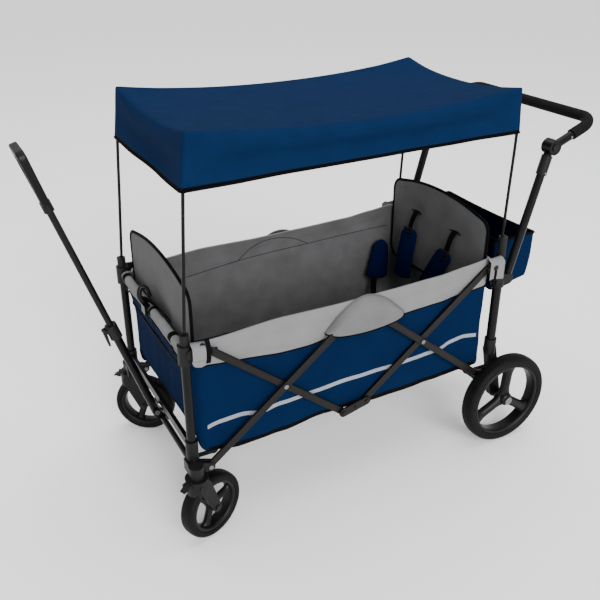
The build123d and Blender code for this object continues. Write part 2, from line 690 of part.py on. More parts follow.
def pull_lever():
    """A flip lever that lies down along the front of the collar."""
    outline = taper(LEVER_PIVOT, 5, (LEVER_PIVOT[0] - 44, LEVER_PIVOT[1] + 4), 3)
    return beside_pull(outline, (-7.8, 7.8)) - across_pull(LEVER_PIVOT, 20, 2.5 + RUNNING)


def pull_grip():
    """A closed loop grip, widest at the hand bar, with a socket for the tube."""
    half_t = 11.0
    bottom = (0, GRIP_SOCKET[0] + 34)
    outer = loop_outline(bottom, 17, GRIP_HALF_W - 20, GRIP_TOP - 20, 20)
    inner = loop_outline((0, GRIP_SOCKET[1] + 22), 7, GRIP_HALF_W - 27, GRIP_TOP - 36, 11)
    plane = Plane(origin=on_pull(0, 0, -half_t), x_dir=(0, 1, 0), z_dir=(PULL_DIR[2], 0, -PULL_DIR[0]))
    ring = extrude(plane * (outer - inner), amount=2 * half_t)
    ring = fillet(ring.edges().filter_by(lambda e: abs((e % 0.5).dot(Vector(plane.z_dir))) < 0.5), 5)
    socket = rod(on_pull(GRIP_SOCKET[0]), on_pull(GRIP_SOCKET[0] + 30), 14)
    bore = rod(on_pull(GRIP_SOCKET[0] - 5), on_pull(PULL_INNER[1]), PULL_INNER_R)
    return ring + socket - bore


def loop_outline(bottom, bottom_r, half_w, top, top_r):
    edges = (Pos(*bottom) * Circle(bottom_r)).edges()
    for sign in (-1, 1):
        edges += (Pos(sign * half_w, top) * Circle(top_r)).edges()
    return make_hull(edges)


# ---- soft parts that deform as the wagon folds ----------------------------------------------
def basket_walls():
    """The four fabric walls, with the pocket over each upper hub."""
    outer = block((-WALL_X[1], WALL_X[1]), (-WALL_Y[1], WALL_Y[1]), WALL_Z)
    inner = block((-WALL_X[0], WALL_X[0]), (-WALL_Y[0], WALL_Y[0]), (WALL_Z[0] - 10, WALL_Z[1] + 10))
    slot = block((-8, 8), (-300, 300), (WALL_Z[0] - 10, FRONT["hub_bottom"][1] + 17))
    shape = outer - inner - slot
    top = WALL_Z[1]
    cover = slab(dome_outline(), DOME_Y)
    bridge = block((-58, 58), (WALL_Y[0], DOME_Y[1]), (top - 4, top))
    dome = cover + bridge
    return shape + dome + mirror(dome, about=Plane.XZ)


def dome_outline():
    """A low arch over the hub, in x and z."""
    rise = WALL_Z[1] - DOME_FOOT_Z
    radius = (DOME_HALF_X**2 + rise**2) / (2 * rise)
    disc = Pos(0, WALL_Z[1] - radius) * Circle(radius)
    window = Pos(0, (DOME_FOOT_Z + WALL_Z[1]) / 2) * Rectangle(2 * DOME_HALF_X, rise)
    return disc & window


def canopy_outline(inset):
    """Side view of the canopy: a valance that flares down from a sagging top."""
    x0, x1 = CANOPY_TOP_X[0] + inset, CANOPY_TOP_X[1] - inset
    hem_x0, hem_x1 = CANOPY_HEM_X[0] + inset, CANOPY_HEM_X[1] - inset
    top = CANOPY_Z[1] - inset
    middle = ((x0 + x1) / 2, top - CANOPY_SAG)
    low = CANOPY_Z[0] - (inset and 10)
    sides = Polyline((x0, top), (hem_x0, low), (hem_x1, low), (x1, top))
    return make_face(sides + ThreePointArc((x0, top), middle, (x1, top)))


def canopy():
    """A sheet that sags along its length, with a hanging edge on all four sides."""
    skin = slab(canopy_outline(0), (-CANOPY_HALF_W, CANOPY_HALF_W))
    half = CANOPY_HALF_W - CANOPY_T
    return skin - slab(canopy_outline(CANOPY_T), (-half, half))


def harness_pads():
    """Two shoulder pads that hang on the face of the rear backrest."""
    x = (-BACKREST_X[0] + 0.3, -BACKREST_X[0] + 12)
    return both(block(x, PAD_Y, PAD_Z))


# ---- assembly -----------------------------------------------------------------------------
def build():
    nodes = {}
    nodes.update(front_base())
    nodes.update(linkage())
    for side, sign in (("left", 1), ("right", -1)):
        nodes.update(caster(side, sign))
        nodes.update(rear_wheel(side, sign))
    nodes.update(rear_base())
    nodes["brake_pedal"] = brake_pedal()
    nodes.update(floor_half(1))
    nodes.update(floor_half(-1))
    nodes["centre_floor_mat"] = centre_mat()
    nodes.update(front_top())
    nodes.update(rear_top())
    nodes.update(push_handle())
    nodes.update(pull_handle())
    nodes["basket_walls"] = basket_walls()
    nodes["canopy"] = canopy()
    return nodes


os.makedirs("parts", exist_ok=True)
NODES = build()
for name, shape in NODES.items():
    export_step(shape, f"parts/{name}.step")
print(len(NODES), "nodes, floor halves end at x", round(FLOOR_END_X, 1))
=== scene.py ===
import json
from math import cos, hypot, pi, radians, sin, tau

import bmesh
import bpy
from mathutils import Matrix, Vector, noise


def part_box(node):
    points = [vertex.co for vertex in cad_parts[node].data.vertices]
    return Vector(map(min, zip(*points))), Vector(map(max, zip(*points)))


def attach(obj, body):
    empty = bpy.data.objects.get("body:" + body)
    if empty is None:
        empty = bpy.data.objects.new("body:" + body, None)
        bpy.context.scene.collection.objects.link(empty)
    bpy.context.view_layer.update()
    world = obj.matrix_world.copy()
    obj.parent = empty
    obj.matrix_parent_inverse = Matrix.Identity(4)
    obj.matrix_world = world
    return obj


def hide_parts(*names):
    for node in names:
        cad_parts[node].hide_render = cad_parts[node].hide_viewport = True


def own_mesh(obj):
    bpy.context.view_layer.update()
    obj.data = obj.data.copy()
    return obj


# Looks of the folding push and pull wagon, in metres, +X forward and +Z up.
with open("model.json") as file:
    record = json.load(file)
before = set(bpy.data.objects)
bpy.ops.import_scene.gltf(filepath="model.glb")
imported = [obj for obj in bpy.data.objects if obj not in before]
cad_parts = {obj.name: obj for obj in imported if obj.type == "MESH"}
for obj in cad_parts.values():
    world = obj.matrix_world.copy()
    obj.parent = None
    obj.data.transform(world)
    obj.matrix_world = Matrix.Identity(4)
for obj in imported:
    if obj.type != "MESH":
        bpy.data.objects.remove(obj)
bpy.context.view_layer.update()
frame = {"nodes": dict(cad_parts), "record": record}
NODES = frame["nodes"]
SIDES = (("right", -1), ("left", 1))

# ---- driving sizes of the soft goods --------------------------------------------------------
HALF_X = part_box("basket_walls")[1].x - 0.0015  # middle of the cloth of the end walls
HALF_Y = 0.2750                                # middle of the cloth of the side walls
CORNER_R = 0.030
CLOTH_T = 0.0026
ROLL_R = 0.0045                                # rolled top edge of the side walls
MAT_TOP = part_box("front_floor_mat")[1].z
RAIL_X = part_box("front_top_rail")[0].x + 0.009
RAIL_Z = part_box("front_top_rail")[0].z + 0.012
WRAP_R = 0.0125                                # cloth rolled over the front rail
FRONT_HEM, FRONT_WEB, FRONT_PIPING = 0.336, 0.502, 0.560
REAR_HEM, REAR_PIPING, REAR_TOP = 0.320, 0.575, 0.655
STRIPE_HALF = 0.0065
STRIPE_ROW, PIPING_ROW, INSIDE_ROW = 7, 21, 33  # rows of the basket's skin where its cloth changes

# seam lines on the side walls, as x and height
SIDE_HEM = ((-0.50, 0.290), (-0.333, 0.280), (-0.107, 0.272), (0.092, 0.277), (0.247, 0.260),
            (0.378, 0.254), (0.45, 0.268), (0.50, 0.280))
SIDE_STRIPE = ((-0.50, 0.392), (-0.412, 0.405), (-0.363, 0.399), (-0.322, 0.383), (-0.162, 0.374),
               (0.0, 0.371), (0.124, 0.364), (0.240, 0.356), (0.305, 0.346), (0.362, 0.357),
               (0.430, 0.356), (0.50, 0.340))
SIDE_PIPING = ((-0.50, 0.572), (-0.373, 0.561), (-0.305, 0.552), (-0.177, 0.548), (-0.03, 0.530),
               (0.096, 0.530), (0.156, 0.524), (0.243, 0.524), (0.367, 0.538), (0.50, 0.550))
SIDE_TOP = ((-0.50, 0.662), (-0.396, 0.651), (-0.297, 0.641), (-0.10, 0.635), (0.068, 0.631),
            (0.242, 0.633), (0.443, 0.619), (0.50, 0.616))
INSIDE_SEAM = ((-0.47, 0.586), (-0.30, 0.583), (-0.141, 0.577), (0.0, 0.573), (0.125, 0.566),
               (0.319, 0.546), (0.47, 0.540))
INSIDE_ARCH = ((-0.141, 0.578), (-0.095, 0.603), (-0.05, 0.618), (-0.015, 0.622), (0.03, 0.620),
               (0.075, 0.604), (0.125, 0.567))

# the pocket over each upper hub
POCKET_X = (-0.168, 0.100)
POCKET_TOP = 0.640
POCKET_OUT = 0.0285

# the canopy
CANOPY_LO, CANOPY_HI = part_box("canopy")
CANOPY_MID = (CANOPY_LO + CANOPY_HI) / 2
CANOPY_HALF = (CANOPY_HI - CANOPY_LO) / 2
TOP_IN = (0.010, 0.017)            # how far the top's rear and front edges stand in from the hem
HEM_Z = (1.052, 1.037)             # hem height at the rear and at the front
ROLL_TOP = 0.016                   # soft turn from valance to top
CANOPY_ARC = 8                     # points round each corner in plan
CANOPY_COUNTS = (100, 58)          # points along a side and an end

# fold settings for each group of soft pieces (axis, anchor, share kept); settle reads only whether one
# is given, and then gives the piece its own mesh
BASKET_FOLD = {"axis": (1, 0, 0), "anchor": (HALF_X, 0.0, 0.0), "keep": 0.292}
POCKET_FOLD = {"axis": (1, 0, 0), "anchor": (0, 0, POCKET_TOP), "keep": 0.5}
CANOPY_FOLD = {"axis": (1, 0, 0), "anchor": (CANOPY_HI.x, 0.0, 0.0), "keep": 0.3255}
HARNESS_FOLD = {"axis": (0, 0, 1), "anchor": (0, 0, 0.70), "keep": 0.62}


# ---- small maths ----------------------------------------------------------------------------
def clamp(v, low=0.0, high=1.0):
    return max(low, min(high, v))


def smooth(v):
    v = clamp(v)
    return v * v * (3 - 2 * v)


def mix(a, b, t):
    return a + (b - a) * t


def up(z):
    return Vector((0, 0, z))


def heading(degrees):
    """A level direction, turned from +X towards +Y."""
    return Vector((cos(radians(degrees)), sin(radians(degrees)), 0))


def along(table, x):
    """Height of a seam line at x, eased between its points."""
    if x <= table[0][0]:
        return table[0][1]
    for (x0, z0), (x1, z1) in zip(table, table[1:]):
        if x <= x1:
            t = (x - x0) / (x1 - x0)
            return mix(z0, z1, mix(t, smooth(t), 0.6))
    return table[-1][1]


def wobble(x, y, z, scale, seed=0.0):
    """Smooth noise from -1 to 1."""
    return noise.noise(Vector((x * scale + seed, y * scale - seed, z * scale + 0.5 * seed)))


def catmull(points, steps, closed=False):
    """A smooth path through points."""
    pts = [Vector(p) for p in points]
    n = len(pts)
    out = []
    for i in range(n if closed else n - 1):
        if closed:
            a, b, c, d = (pts[(i + k) % n] for k in (-1, 0, 1, 2))
        else:
            a, b, c, d = (pts[clamp(i + k, 0, n - 1)] for k in (-1, 0, 1, 2))
        for s in range(steps):
            t = s / steps
            out.append(0.5 * (2 * b + (c - a) * t + (2 * a - 5 * b + 4 * c - d) * t * t
                              + (3 * b - a - 3 * c + d) * t**3))
    return out if closed else out + [pts[-1]]


def eased(pairs, steps=8):
    """Pairs of numbers with eased pairs between them."""
    return [(p.x, p.y) for p in catmull([(a, b, 0) for a, b in pairs], steps)]


def arc(cx, cy, radius, start, end, steps):
    """Points on an arc, from start to end degrees."""
    return [(cx + radius * cos(radians(mix(start, end, k / steps))),
             cy + radius * sin(radians(mix(start, end, k / steps)))) for k in range(steps + 1)]


def round_rect(cx, half_x, half_y, radius, steps, counts, shift=0.0):
    """Round a soft-cornered rectangle: point, outward direction, and side 0 to 3 or None."""
    out = []
    for k, (sx, sy) in enumerate(((1, 1), (-1, 1), (-1, -1), (1, -1))):
        centre = Vector((cx + sx * (half_x - radius), sy * (half_y - radius), 0))
        for j in range(steps):
            n = heading(90 * k + 90 * (j + shift) / steps)
            out.append((centre + n * radius, n, None))
        n, run = heading(90 * k + 90), heading(90 * k + 180)
        length, count = 2 * ((half_x, half_y)[k % 2] - radius), counts[k % 2]
        for j in range(1 if shift else 0, count):
            out.append((centre + n * radius + run * (length * j / count), n, k))
    return out


# ---- mesh helpers ---------------------------------------------------------------------------
def placed(name, mesh):
    obj = bpy.data.objects.new(name, mesh)
    bpy.context.scene.collection.objects.link(obj)
    return obj


def make_object(name, verts, faces, materials, slots=()):
    mesh = bpy.data.meshes.new(name)
    mesh.from_pydata([tuple(v) for v in verts], [], faces)
    for material in materials:
        mesh.materials.append(material)
    if slots:
        mesh.polygons.foreach_set("material_index", slots)
    mesh.polygons.foreach_set("use_smooth", [True] * len(mesh.polygons))
    mesh.update()
    return placed(name, mesh)


def grid(name, rows, materials, slot_of=None, wrap=False, cap=False):
    """Rows of points joined into a surface. wrap closes each row; cap closes both end rows."""
    n = len(rows[0])
    verts = [p for row in rows for p in row]
    faces, slots = [], []
    for i in range(len(rows) - 1):
        for j in range(n if wrap else n - 1):
            k = (j + 1) % n
            faces.append((i * n + j, i * n + k, (i + 1) * n + k, (i + 1) * n + j))
            slots.append(slot_of(i, j) if slot_of else 0)
    if cap:
        faces.append(tuple(reversed(range(n))))
        faces.append(tuple((len(rows) - 1) * n + j for j in range(n)))
        slots += [slots[0], slots[-1]]
    return make_object(name, verts, faces, materials, slots)


def patch_rows(steps_v, steps_u, point):
    """Open rows of points. point takes two shares, up the rows and along each."""
    return [[point(i / steps_v, j / steps_u) for j in range(steps_u + 1)]
            for i in range(steps_v + 1)]


def ring_rows(steps, sides, point):
    """Closed rows of points. point takes a share along the piece and an angle round it."""
    return [[point(i / steps, tau * k / sides) for k in range(sides)] for i in range(steps + 1)]


def frames_along(path, closed=False):
    """A tangent and two square directions at each point, turning as little as possible."""
    n = len(path)
    out, normal = [], None
    for i in range(n):
        ahead = path[(i + 1) % n] if closed or i < n - 1 else path[i]
        behind = path[i - 1] if closed or i > 0 else path[i]
        tangent = (ahead - behind).normalized()
        if normal is None:
            spare = up(1) if abs(tangent.z) < 0.8 else Vector((1, 0, 0))
            normal = tangent.cross(spare).normalized()
        normal = (normal - tangent * normal.dot(tangent)).normalized()
        out.append((tangent, normal, tangent.cross(normal)))
    return out


def tube(name, path, radius, material, sides=8, closed=False):
    """A round cord or rod along a path. radius is a number, or a function of 0..1 along it."""
    path = [Vector(p) for p in path]
    rows = []
    for i, (p, (_, u, v)) in enumerate(zip(path, frames_along(path, closed))):
        r = radius(i / (len(path) - 1)) if callable(radius) else radius
        rows.append([p + (u * cos(tau * k / sides) + v * sin(tau * k / sides)) * r
                     for k in range(sides)])
    if closed:
        return weld(grid(name, rows + rows[:1], [material], wrap=True))
    return grid(name, rows, [material], wrap=True, cap=True)


def reworked(obj, change):
    """Runs change on the mesh and turns its faces outward again."""
    bm = bmesh.new()
    bm.from_mesh(obj.data)
    bm.verts.ensure_lookup_table()
    change(bm)
    bmesh.ops.recalc_face_normals(bm, faces=bm.faces)
    bm.to_mesh(obj.data)
    bm.free()
    return obj


def weld(obj, distance=0.00002):
    return reworked(obj, lambda bm: bmesh.ops.remove_doubles(bm, verts=bm.verts, dist=distance))


def close_row(obj, indices):
    """One smooth face across a row of points."""
    def add_face(bm):
        bm.faces.new([bm.verts[j] for j in indices]).smooth = True
    return reworked(obj, add_face)


def strap(name, path, across, width, material, thickness=0.0016):
    """Flat webbing along a path. across is the direction of its width."""
    path = [Vector(p) for p in path]
    across = Vector(across).normalized()
    w, t = width / 2, thickness / 2
    section = [(-w, -t * 0.4), (-w * 0.94, -t), (w * 0.94, -t), (w, -t * 0.4),
               (w, t * 0.4), (w * 0.94, t), (-w * 0.94, t), (-w, t * 0.4)]
    rows = []
    for p, (tangent, _, _) in zip(path, frames_along(path)):
        side = (across - tangent * across.dot(tangent)).normalized()
        rows.append([p + side * a + tangent.cross(side) * b for a, b in section])
    return grid(name, rows, [material], wrap=True, cap=True)


def bevelled(name, size, centre, material, edge=0.002, rows=3):
    """A rounded block of that size."""
    bm = bmesh.new()
    bmesh.ops.create_cube(bm, size=1.0)
    bmesh.ops.scale(bm, vec=size, verts=bm.verts)
    bmesh.ops.bevel(bm, geom=bm.edges[:], offset=edge, segments=rows, profile=0.5, affect="EDGES")
    bm.transform(Matrix.Translation(centre))
    mesh = bpy.data.meshes.new(name)
    bm.to_mesh(mesh)
    bm.free()
    mesh.materials.append(material)
    mesh.polygons.foreach_set("use_smooth", [True] * len(mesh.polygons))
    return placed(name, mesh)


def joined(name, objects):
    """Several meshes as one object, keeping their materials."""
    first = objects[0]
    with bpy.context.temp_override(active_object=first, selected_editable_objects=objects):
        bpy.ops.object.join()
    first.name = name
    first.data.name = name
    return first


def lathe(name, profile, place, material, steps=96, shift=None):
    """A profile of (radius, along) turned about the local Y axis. shift moves a point's radius."""
    rows = []
    for r, y in profile:
        row = []
        for k in range(steps):
            a = tau * k / steps
            rr = r + (shift(r, y, a) if shift else 0.0)
            row.append(place @ Vector((rr * cos(a), y, rr * sin(a))))
        rows.append(row)
    return grid(name, rows, [material], wrap=True)


def thicken(obj, thickness, offset=0.0, inner_material=0):
    modifier = obj.modifiers.new("thickness", "SOLIDIFY")
    modifier.thickness = thickness
    modifier.offset = offset
    modifier.material_offset = inner_material
    return obj


def settle(obj, body, node=None, fold=None):
    """Puts a finished piece on its body, and in place of a CAD node if one is named."""
    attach(obj, body)
    if node:
        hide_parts(node)
    if fold:
        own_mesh(obj)
    return obj


# ---- materials ------------------------------------------------------------------------------
def shader(name, colour, rough, metallic=0.0, specular=0.5):
    material = bpy.data.materials.new(name)
    material.use_nodes = True
    bsdf = material.node_tree.nodes["Principled BSDF"]
    bsdf.inputs["Base Color"].default_value = (*colour, 1)
    bsdf.inputs["Roughness"].default_value = rough
    bsdf.inputs["Metallic"].default_value = metallic
    bsdf.inputs["Specular IOR Level"].default_value = specular
    return material, material.node_tree, bsdf


def position(tree):
    return tree.nodes.new("ShaderNodeTexCoord").outputs["Object"]


def noise_node(tree, scale, detail=4.0, rough=0.55):
    node = tree.nodes.new("ShaderNodeTexNoise")
    node.inputs["Scale"].default_value = scale
    node.inputs["Detail"].default_value = detail
    node.inputs["Roughness"].default_value = rough
    tree.links.new(position(tree), node.inputs["Vector"])
    return node.outputs["Fac"]


def ramp(tree, fac, low, high, colour_low, colour_high):
    node = tree.nodes.new("ShaderNodeValToRGB")
    for element, at, colour in zip(node.color_ramp.elements, (low, high), (colour_low, colour_high)):
        element.position = at
        element.color = (*colour, 1)
    tree.links.new(fac, node.inputs["Fac"])
    return node.outputs["Color"]


def map_range(tree, fac, end, low, high):
    """Maps to low..high where end is To, and from low..high where it is From."""
    node = tree.nodes.new("ShaderNodeMapRange")
    node.inputs[f"{end} Min"].default_value = low
    node.inputs[f"{end} Max"].default_value = high
    tree.links.new(fac, node.inputs["Value"])
    return node.outputs["Result"]


def added(tree, a, b):
    node = tree.nodes.new("ShaderNodeMath")
    node.operation = "ADD"
    tree.links.new(b, node.inputs[0])
    tree.links.new(a, node.inputs[1])
    return node.outputs[0]


def bump(tree, bsdf, height, distance, strength, under=None):
    node = tree.nodes.new("ShaderNodeBump")
    node.inputs["Strength"].default_value = strength
    node.inputs["Distance"].default_value = distance
    tree.links.new(height, node.inputs["Height"])
    if under:
        tree.links.new(under, node.inputs["Normal"])
    tree.links.new(node.outputs["Normal"], bsdf.inputs["Normal"])
    return node.outputs["Normal"]


def blend(tree, fac, a, b, kind="MIX"):
    """Colour a towards colour b. fac and b are each a socket or a constant."""
    node = tree.nodes.new("ShaderNodeMix")
    node.data_type = "RGBA"
    node.blend_type = kind
    fac_in, a_in, b_in = node.inputs[0], node.inputs[6], node.inputs[7]
    tree.links.new(a, a_in)
    if isinstance(fac, float):
        fac_in.default_value = fac
        tree.links.new(b, b_in)
    else:
        b_in.default_value = (*b, 1)
        tree.links.new(fac, fac_in)
    return node.outputs[2]


def edge_highlight_share(tree):
    """1 along outer edges, 0 elsewhere: where a paler painted highlight goes."""
    geometry = tree.nodes.new("ShaderNodeNewGeometry")
    return map_range(tree, geometry.outputs["Pointiness"], "From", 0.52, 0.62)


def colour_and_rough(tree, bsdf, tint, uneven, rough_low, rough_high):
    tree.links.new(tint, bsdf.inputs["Base Color"])
    tree.links.new(map_range(tree, uneven, "To", rough_low, rough_high), bsdf.inputs["Roughness"])


def times(colour, share):
    return [c * share for c in colour]


def weave(tree, pitch):
    """Threads crossing in all three planes, as one height."""
    wave_unit = 20.0                      # the wave node's own bands per unit of scale, in radians
    total = None
    for axis in ("X", "Y", "Z"):
        node = tree.nodes.new("ShaderNodeTexWave")
        node.bands_direction = axis
        node.inputs["Scale"].default_value = tau / wave_unit / pitch
        node.inputs["Distortion"].default_value = 0.4
        node.inputs["Detail"].default_value = 1.0
        node.inputs["Detail Scale"].default_value = 1.0
        tree.links.new(position(tree), node.inputs["Vector"])
        fac = node.outputs["Fac"]
        total = fac if total is None else added(tree, total, fac)
    return total


def cloth(name, colour, pitch=0.0022, rough=0.84, crumple=0.0022, vary=0.07, thread=0.00016):
    """Woven polyester: threads, soft creases, and uneven colour and roughness."""
    material, tree, bsdf = shader(name, colour, rough, specular=0.025)
    tint = ramp(tree, noise_node(tree, 14.0, 6.0), 0.3, 0.7, times(colour, 1 - vary),
                times(colour, 1 + vary))
    threads = weave(tree, pitch)
    shade = ramp(tree, threads, 0.5, 2.0, (0.72, 0.72, 0.72), (1, 1, 1))
    colour_and_rough(tree, bsdf, blend(tree, 0.35, tint, shade, "MULTIPLY"), noise_node(tree, 35.0),
                     rough - 0.07, rough + 0.08)
    soft = bump(tree, bsdf, noise_node(tree, 13.0, 2.0, 0.4), crumple, 0.6)
    bump(tree, bsdf, threads, thread, 0.8, soft)
    return material


def webbing_material(name, colour):
    return cloth(name, colour, pitch=0.0030, rough=0.66, crumple=0.0002, vary=0.25, thread=0.0004)


def moulded(name, colour, rough, grain=260.0, depth=0.00012):
    """Moulded plastic: fine grain, slight colour drift and a duller edge, paler with a painted
    highlight.
    """
    material, tree, bsdf = shader(name, colour, rough, specular=0.14)
    # Paler colour along outer edges: a painted highlight.
    edge = edge_highlight_share(tree)
    patch = ramp(tree, noise_node(tree, 28.0, 6.0), 0.35, 0.75, colour, times(colour, 1.2))
    colour_and_rough(tree, bsdf, blend(tree, edge, patch, times(colour, 2.2)), noise_node(tree, 60.0),
                     rough - 0.08, rough + 0.1)
    bump(tree, bsdf, noise_node(tree, grain, 2.0), depth, 0.7)
    return material


def painted(name, colour, rough):
    """Powder coat: faint orange peel, tiny flecks, and a paler painted highlight along edges."""
    material, tree, bsdf = shader(name, colour, rough, specular=0.13)
    flecks = ramp(tree, noise_node(tree, 220.0, 3.0), 0.35, 0.65, times(colour, 0.75),
                  times(colour, 1.25))
    # Paler colour along outer edges: a painted highlight.
    edge_highlighted = blend(tree, edge_highlight_share(tree), flecks, times(colour, 2.4))
    colour_and_rough(tree, bsdf, edge_highlighted, noise_node(tree, 45.0, 5.0), rough - 0.08, rough + 0.1)
    bump(tree, bsdf, noise_node(tree, 420.0, 2.0), 0.00006, 0.6)
    return material


def metal(name, colour, rough):
    material, tree, bsdf = shader(name, colour, rough, metallic=1.0)
    tint = ramp(tree, noise_node(tree, 70.0, 6.0), 0.3, 0.7, times(colour, 0.8), colour)
    colour_and_rough(tree, bsdf, tint, noise_node(tree, 120.0), rough - 0.1, rough + 0.12)
    bump(tree, bsdf, noise_node(tree, 300.0, 2.0), 0.00004, 0.5)
    return material


def rubber(name, colour, rough, grain, depth):
    material, tree, bsdf = shader(name, colour, rough, specular=0.09)
    tint = ramp(tree, noise_node(tree, 40.0, 6.0), 0.35, 0.7, colour, times(colour, 1.7))
    colour_and_rough(tree, bsdf, tint, noise_node(tree, 90.0), rough - 0.1, rough + 0.08)
    bump(tree, bsdf, noise_node(tree, grain, 3.0), depth, 0.8)
    return material


BLUE = cloth("blue_cloth", (0.0014, 0.0086, 0.033), crumple=0.0040)
CANOPY_BLUE = cloth("canopy_blue_cloth", (0.0024, 0.0118, 0.041), crumple=0.0045)
PALE = cloth("pale_grey_cloth", (0.160, 0.160, 0.163), vary=0.06, crumple=0.0045)
LINING = cloth("dark_grey_lining", (0.078, 0.078, 0.080), vary=0.14, crumple=0.0080)
REST_CLOTH = cloth("backrest_cloth", (0.100, 0.100, 0.102), vary=0.08, crumple=0.0030)
POCKET_CLOTH = cloth("pocket_grey_cloth", (0.118, 0.118, 0.120), vary=0.08, crumple=0.0045)
LINING_PALE = cloth("mid_grey_cloth", (0.100, 0.100, 0.102), vary=0.06)
# Inside of the rear bag: the blue darkened, painted shade in the open bag.
BAG_INSIDE_SHADE = cloth("bag_inside_painted_shade", (0.0006, 0.0028, 0.013))
STRIPE = cloth("reflective_tape", (0.215, 0.230, 0.255), pitch=0.0012, rough=0.42, crumple=0.0002,
               vary=0.04)
PIPING = webbing_material("black_piping", (0.0022, 0.0022, 0.0025))
WEBBING = webbing_material("black_webbing", (0.0030, 0.0030, 0.0033))
# Dark cords along the inner seams: painted shade where the seams crease.
SEAM_SHADE = webbing_material("painted_seam_shade", (0.026, 0.026, 0.028))
PAD_BLUE = cloth("pad_blue_cloth", (0.0006, 0.0042, 0.024), pitch=0.0016)
MAT_CLOTH = cloth("floor_mat_cloth", (0.052, 0.052, 0.054), vary=0.10, crumple=0.0030)
BUCKLE = moulded("buckle_plastic", (0.0032, 0.0032, 0.0035), 0.38)
TYRE = rubber("tyre_rubber", (0.0020, 0.0020, 0.0021), 0.60, 330.0, 0.00015)
RIM = moulded("rim_plastic", (0.0030, 0.0030, 0.0032), 0.36, grain=340.0, depth=0.00005)
STEEL = metal("zinc_steel", (0.20, 0.20, 0.21), 0.34)
NODE_LOOKS = {
    "dark_frame_paint": painted("dark_frame_paint", (0.0012, 0.0011, 0.0011), 0.32),
    "bar_paint": painted("bar_paint", (0.0034, 0.0029, 0.0026), 0.36),
    "steel": STEEL,
    "black_moulding": moulded("black_moulding", (0.0030, 0.0030, 0.0032), 0.42),
    "rim_plastic": RIM,
    "tyre_rubber": TYRE,
    "handle_tube": painted("handle_tube_paint", (0.0016, 0.0016, 0.0017), 0.28),
    "grip_foam": rubber("grip_foam", (0.0032, 0.0032, 0.0034), 0.85, 520.0, 0.0006),
    "blue_fabric": BLUE,
    "grey_fabric": LINING,
    "pad_blue": PAD_BLUE,
    "floor_mat": MAT_CLOTH,
}


def dress_nodes():
    """Every CAD node gets the material of its slot."""
    for row in frame["record"]["subparts"]:
        look = NODE_LOOKS[row["material_slot"]]
        mesh = NODES[row["node"]].data
        if mesh.materials:
            for i in range(len(mesh.materials)):
                mesh.materials[i] = look
        else:
            mesh.materials.append(look)


# ---- basket ---------------------------------------------------------------------------------
def front_lean(y):
    """How much of the lean towards the front rail the front wall has at y."""
    return smooth((HALF_Y - 0.0195 - abs(y)) / 0.009)


def lean_share(z, top):
    """How much of its lean a wall has at z: little at the hem, all of it at the top."""
    rise = clamp((z - FRONT_HEM) / (top - FRONT_HEM))
    return 0.16 * rise + 0.84 * smooth((rise - 0.45) / 0.55)


def wall_lines(p):
    """Hem, stripe, piping and top heights, and how far the top leans out over the front rail."""
    hem, stripe, piping, top = (along(line, p.x)
                                for line in (SIDE_HEM, SIDE_STRIPE, SIDE_PIPING, SIDE_TOP))
    lean = 0.0
    inward = smooth((HALF_Y - abs(p.y)) / 0.028)
    if p.x > HALF_X - CORNER_R:
        hem = mix(hem, FRONT_HEM, inward)
        piping = mix(piping, FRONT_PIPING + 0.008 * cos(p.y * 11), inward)
        top = mix(top, RAIL_Z, smooth((HALF_Y - abs(p.y)) / 0.030))
        lean = front_lean(p.y)
    elif p.x < -HALF_X + CORNER_R:
        hem = mix(hem, REAR_HEM, inward)
        piping = mix(piping, REAR_PIPING, inward)
        top = mix(top, REAR_TOP, inward)
    return hem, stripe, piping, top, lean


def wall_ripple(p, z, hem, piping, top):
    """Soft hanging folds in metres inward, fading out above the piping."""
    depth = clamp((top - z) / (top - hem))
    long = wobble(p.x, p.y, z * 0.35, 7.0, 3.0)
    short = wobble(p.x, p.y, z * 0.6, 19.0, 9.0)
    sag = sin(pi * clamp((z - hem) / (top - hem)))
    folds = 0.0050 * sag * (0.40 + long) + 0.0026 * short * (0.35 + depth)
    return folds * (1 - smooth((z - piping) / 0.05))


def wall_column(p, n):
    """One column of the basket's skin, from the outer hem over the top and down the inside."""
    hem, stripe, piping, top, lean = wall_lines(p)
    roll = mix(ROLL_R, WRAP_R * (1 + 0.16 * wobble(p.x, p.y, 0.0, 34.0, 6.0)), lean)
    out_x = lean * (RAIL_X - HALF_X)
    half = CLOTH_T / 2
    heights = []
    for low, high, count in ((hem, stripe - STRIPE_HALF, STRIPE_ROW),
                             (stripe - STRIPE_HALF, stripe + STRIPE_HALF, 2),
                             (stripe + STRIPE_HALF, piping, PIPING_ROW - STRIPE_ROW - 2),
                             (piping, top, 6)):
        heights += [mix(low, high, k / count) for k in range(count)]
    column = []
    for z in heights:
        gap = mix(half, roll, smooth((z - (top - 0.05)) / 0.05))
        out = gap - wall_ripple(p, z, hem, piping, top) + out_x * lean_share(z, top)
        column.append(p + n * out + up(z))
    for across, rise in arc(0.0, 0.0, roll, 0, 180, 8):
        column.append(p + n * (out_x + across) + up(top + rise))
    foot = max(hem + 0.004, 0.300)
    for k in range(1, 19):
        z = mix(top, foot, k / 18)
        gap = mix(half, roll, smooth((z - (top - 0.045)) / 0.045))
        out = out_x * smooth((z - (top - 0.035)) / 0.035) - gap
        column.append(p + n * (out - wall_ripple(p, z, hem, piping, top)) + up(z))
    return column


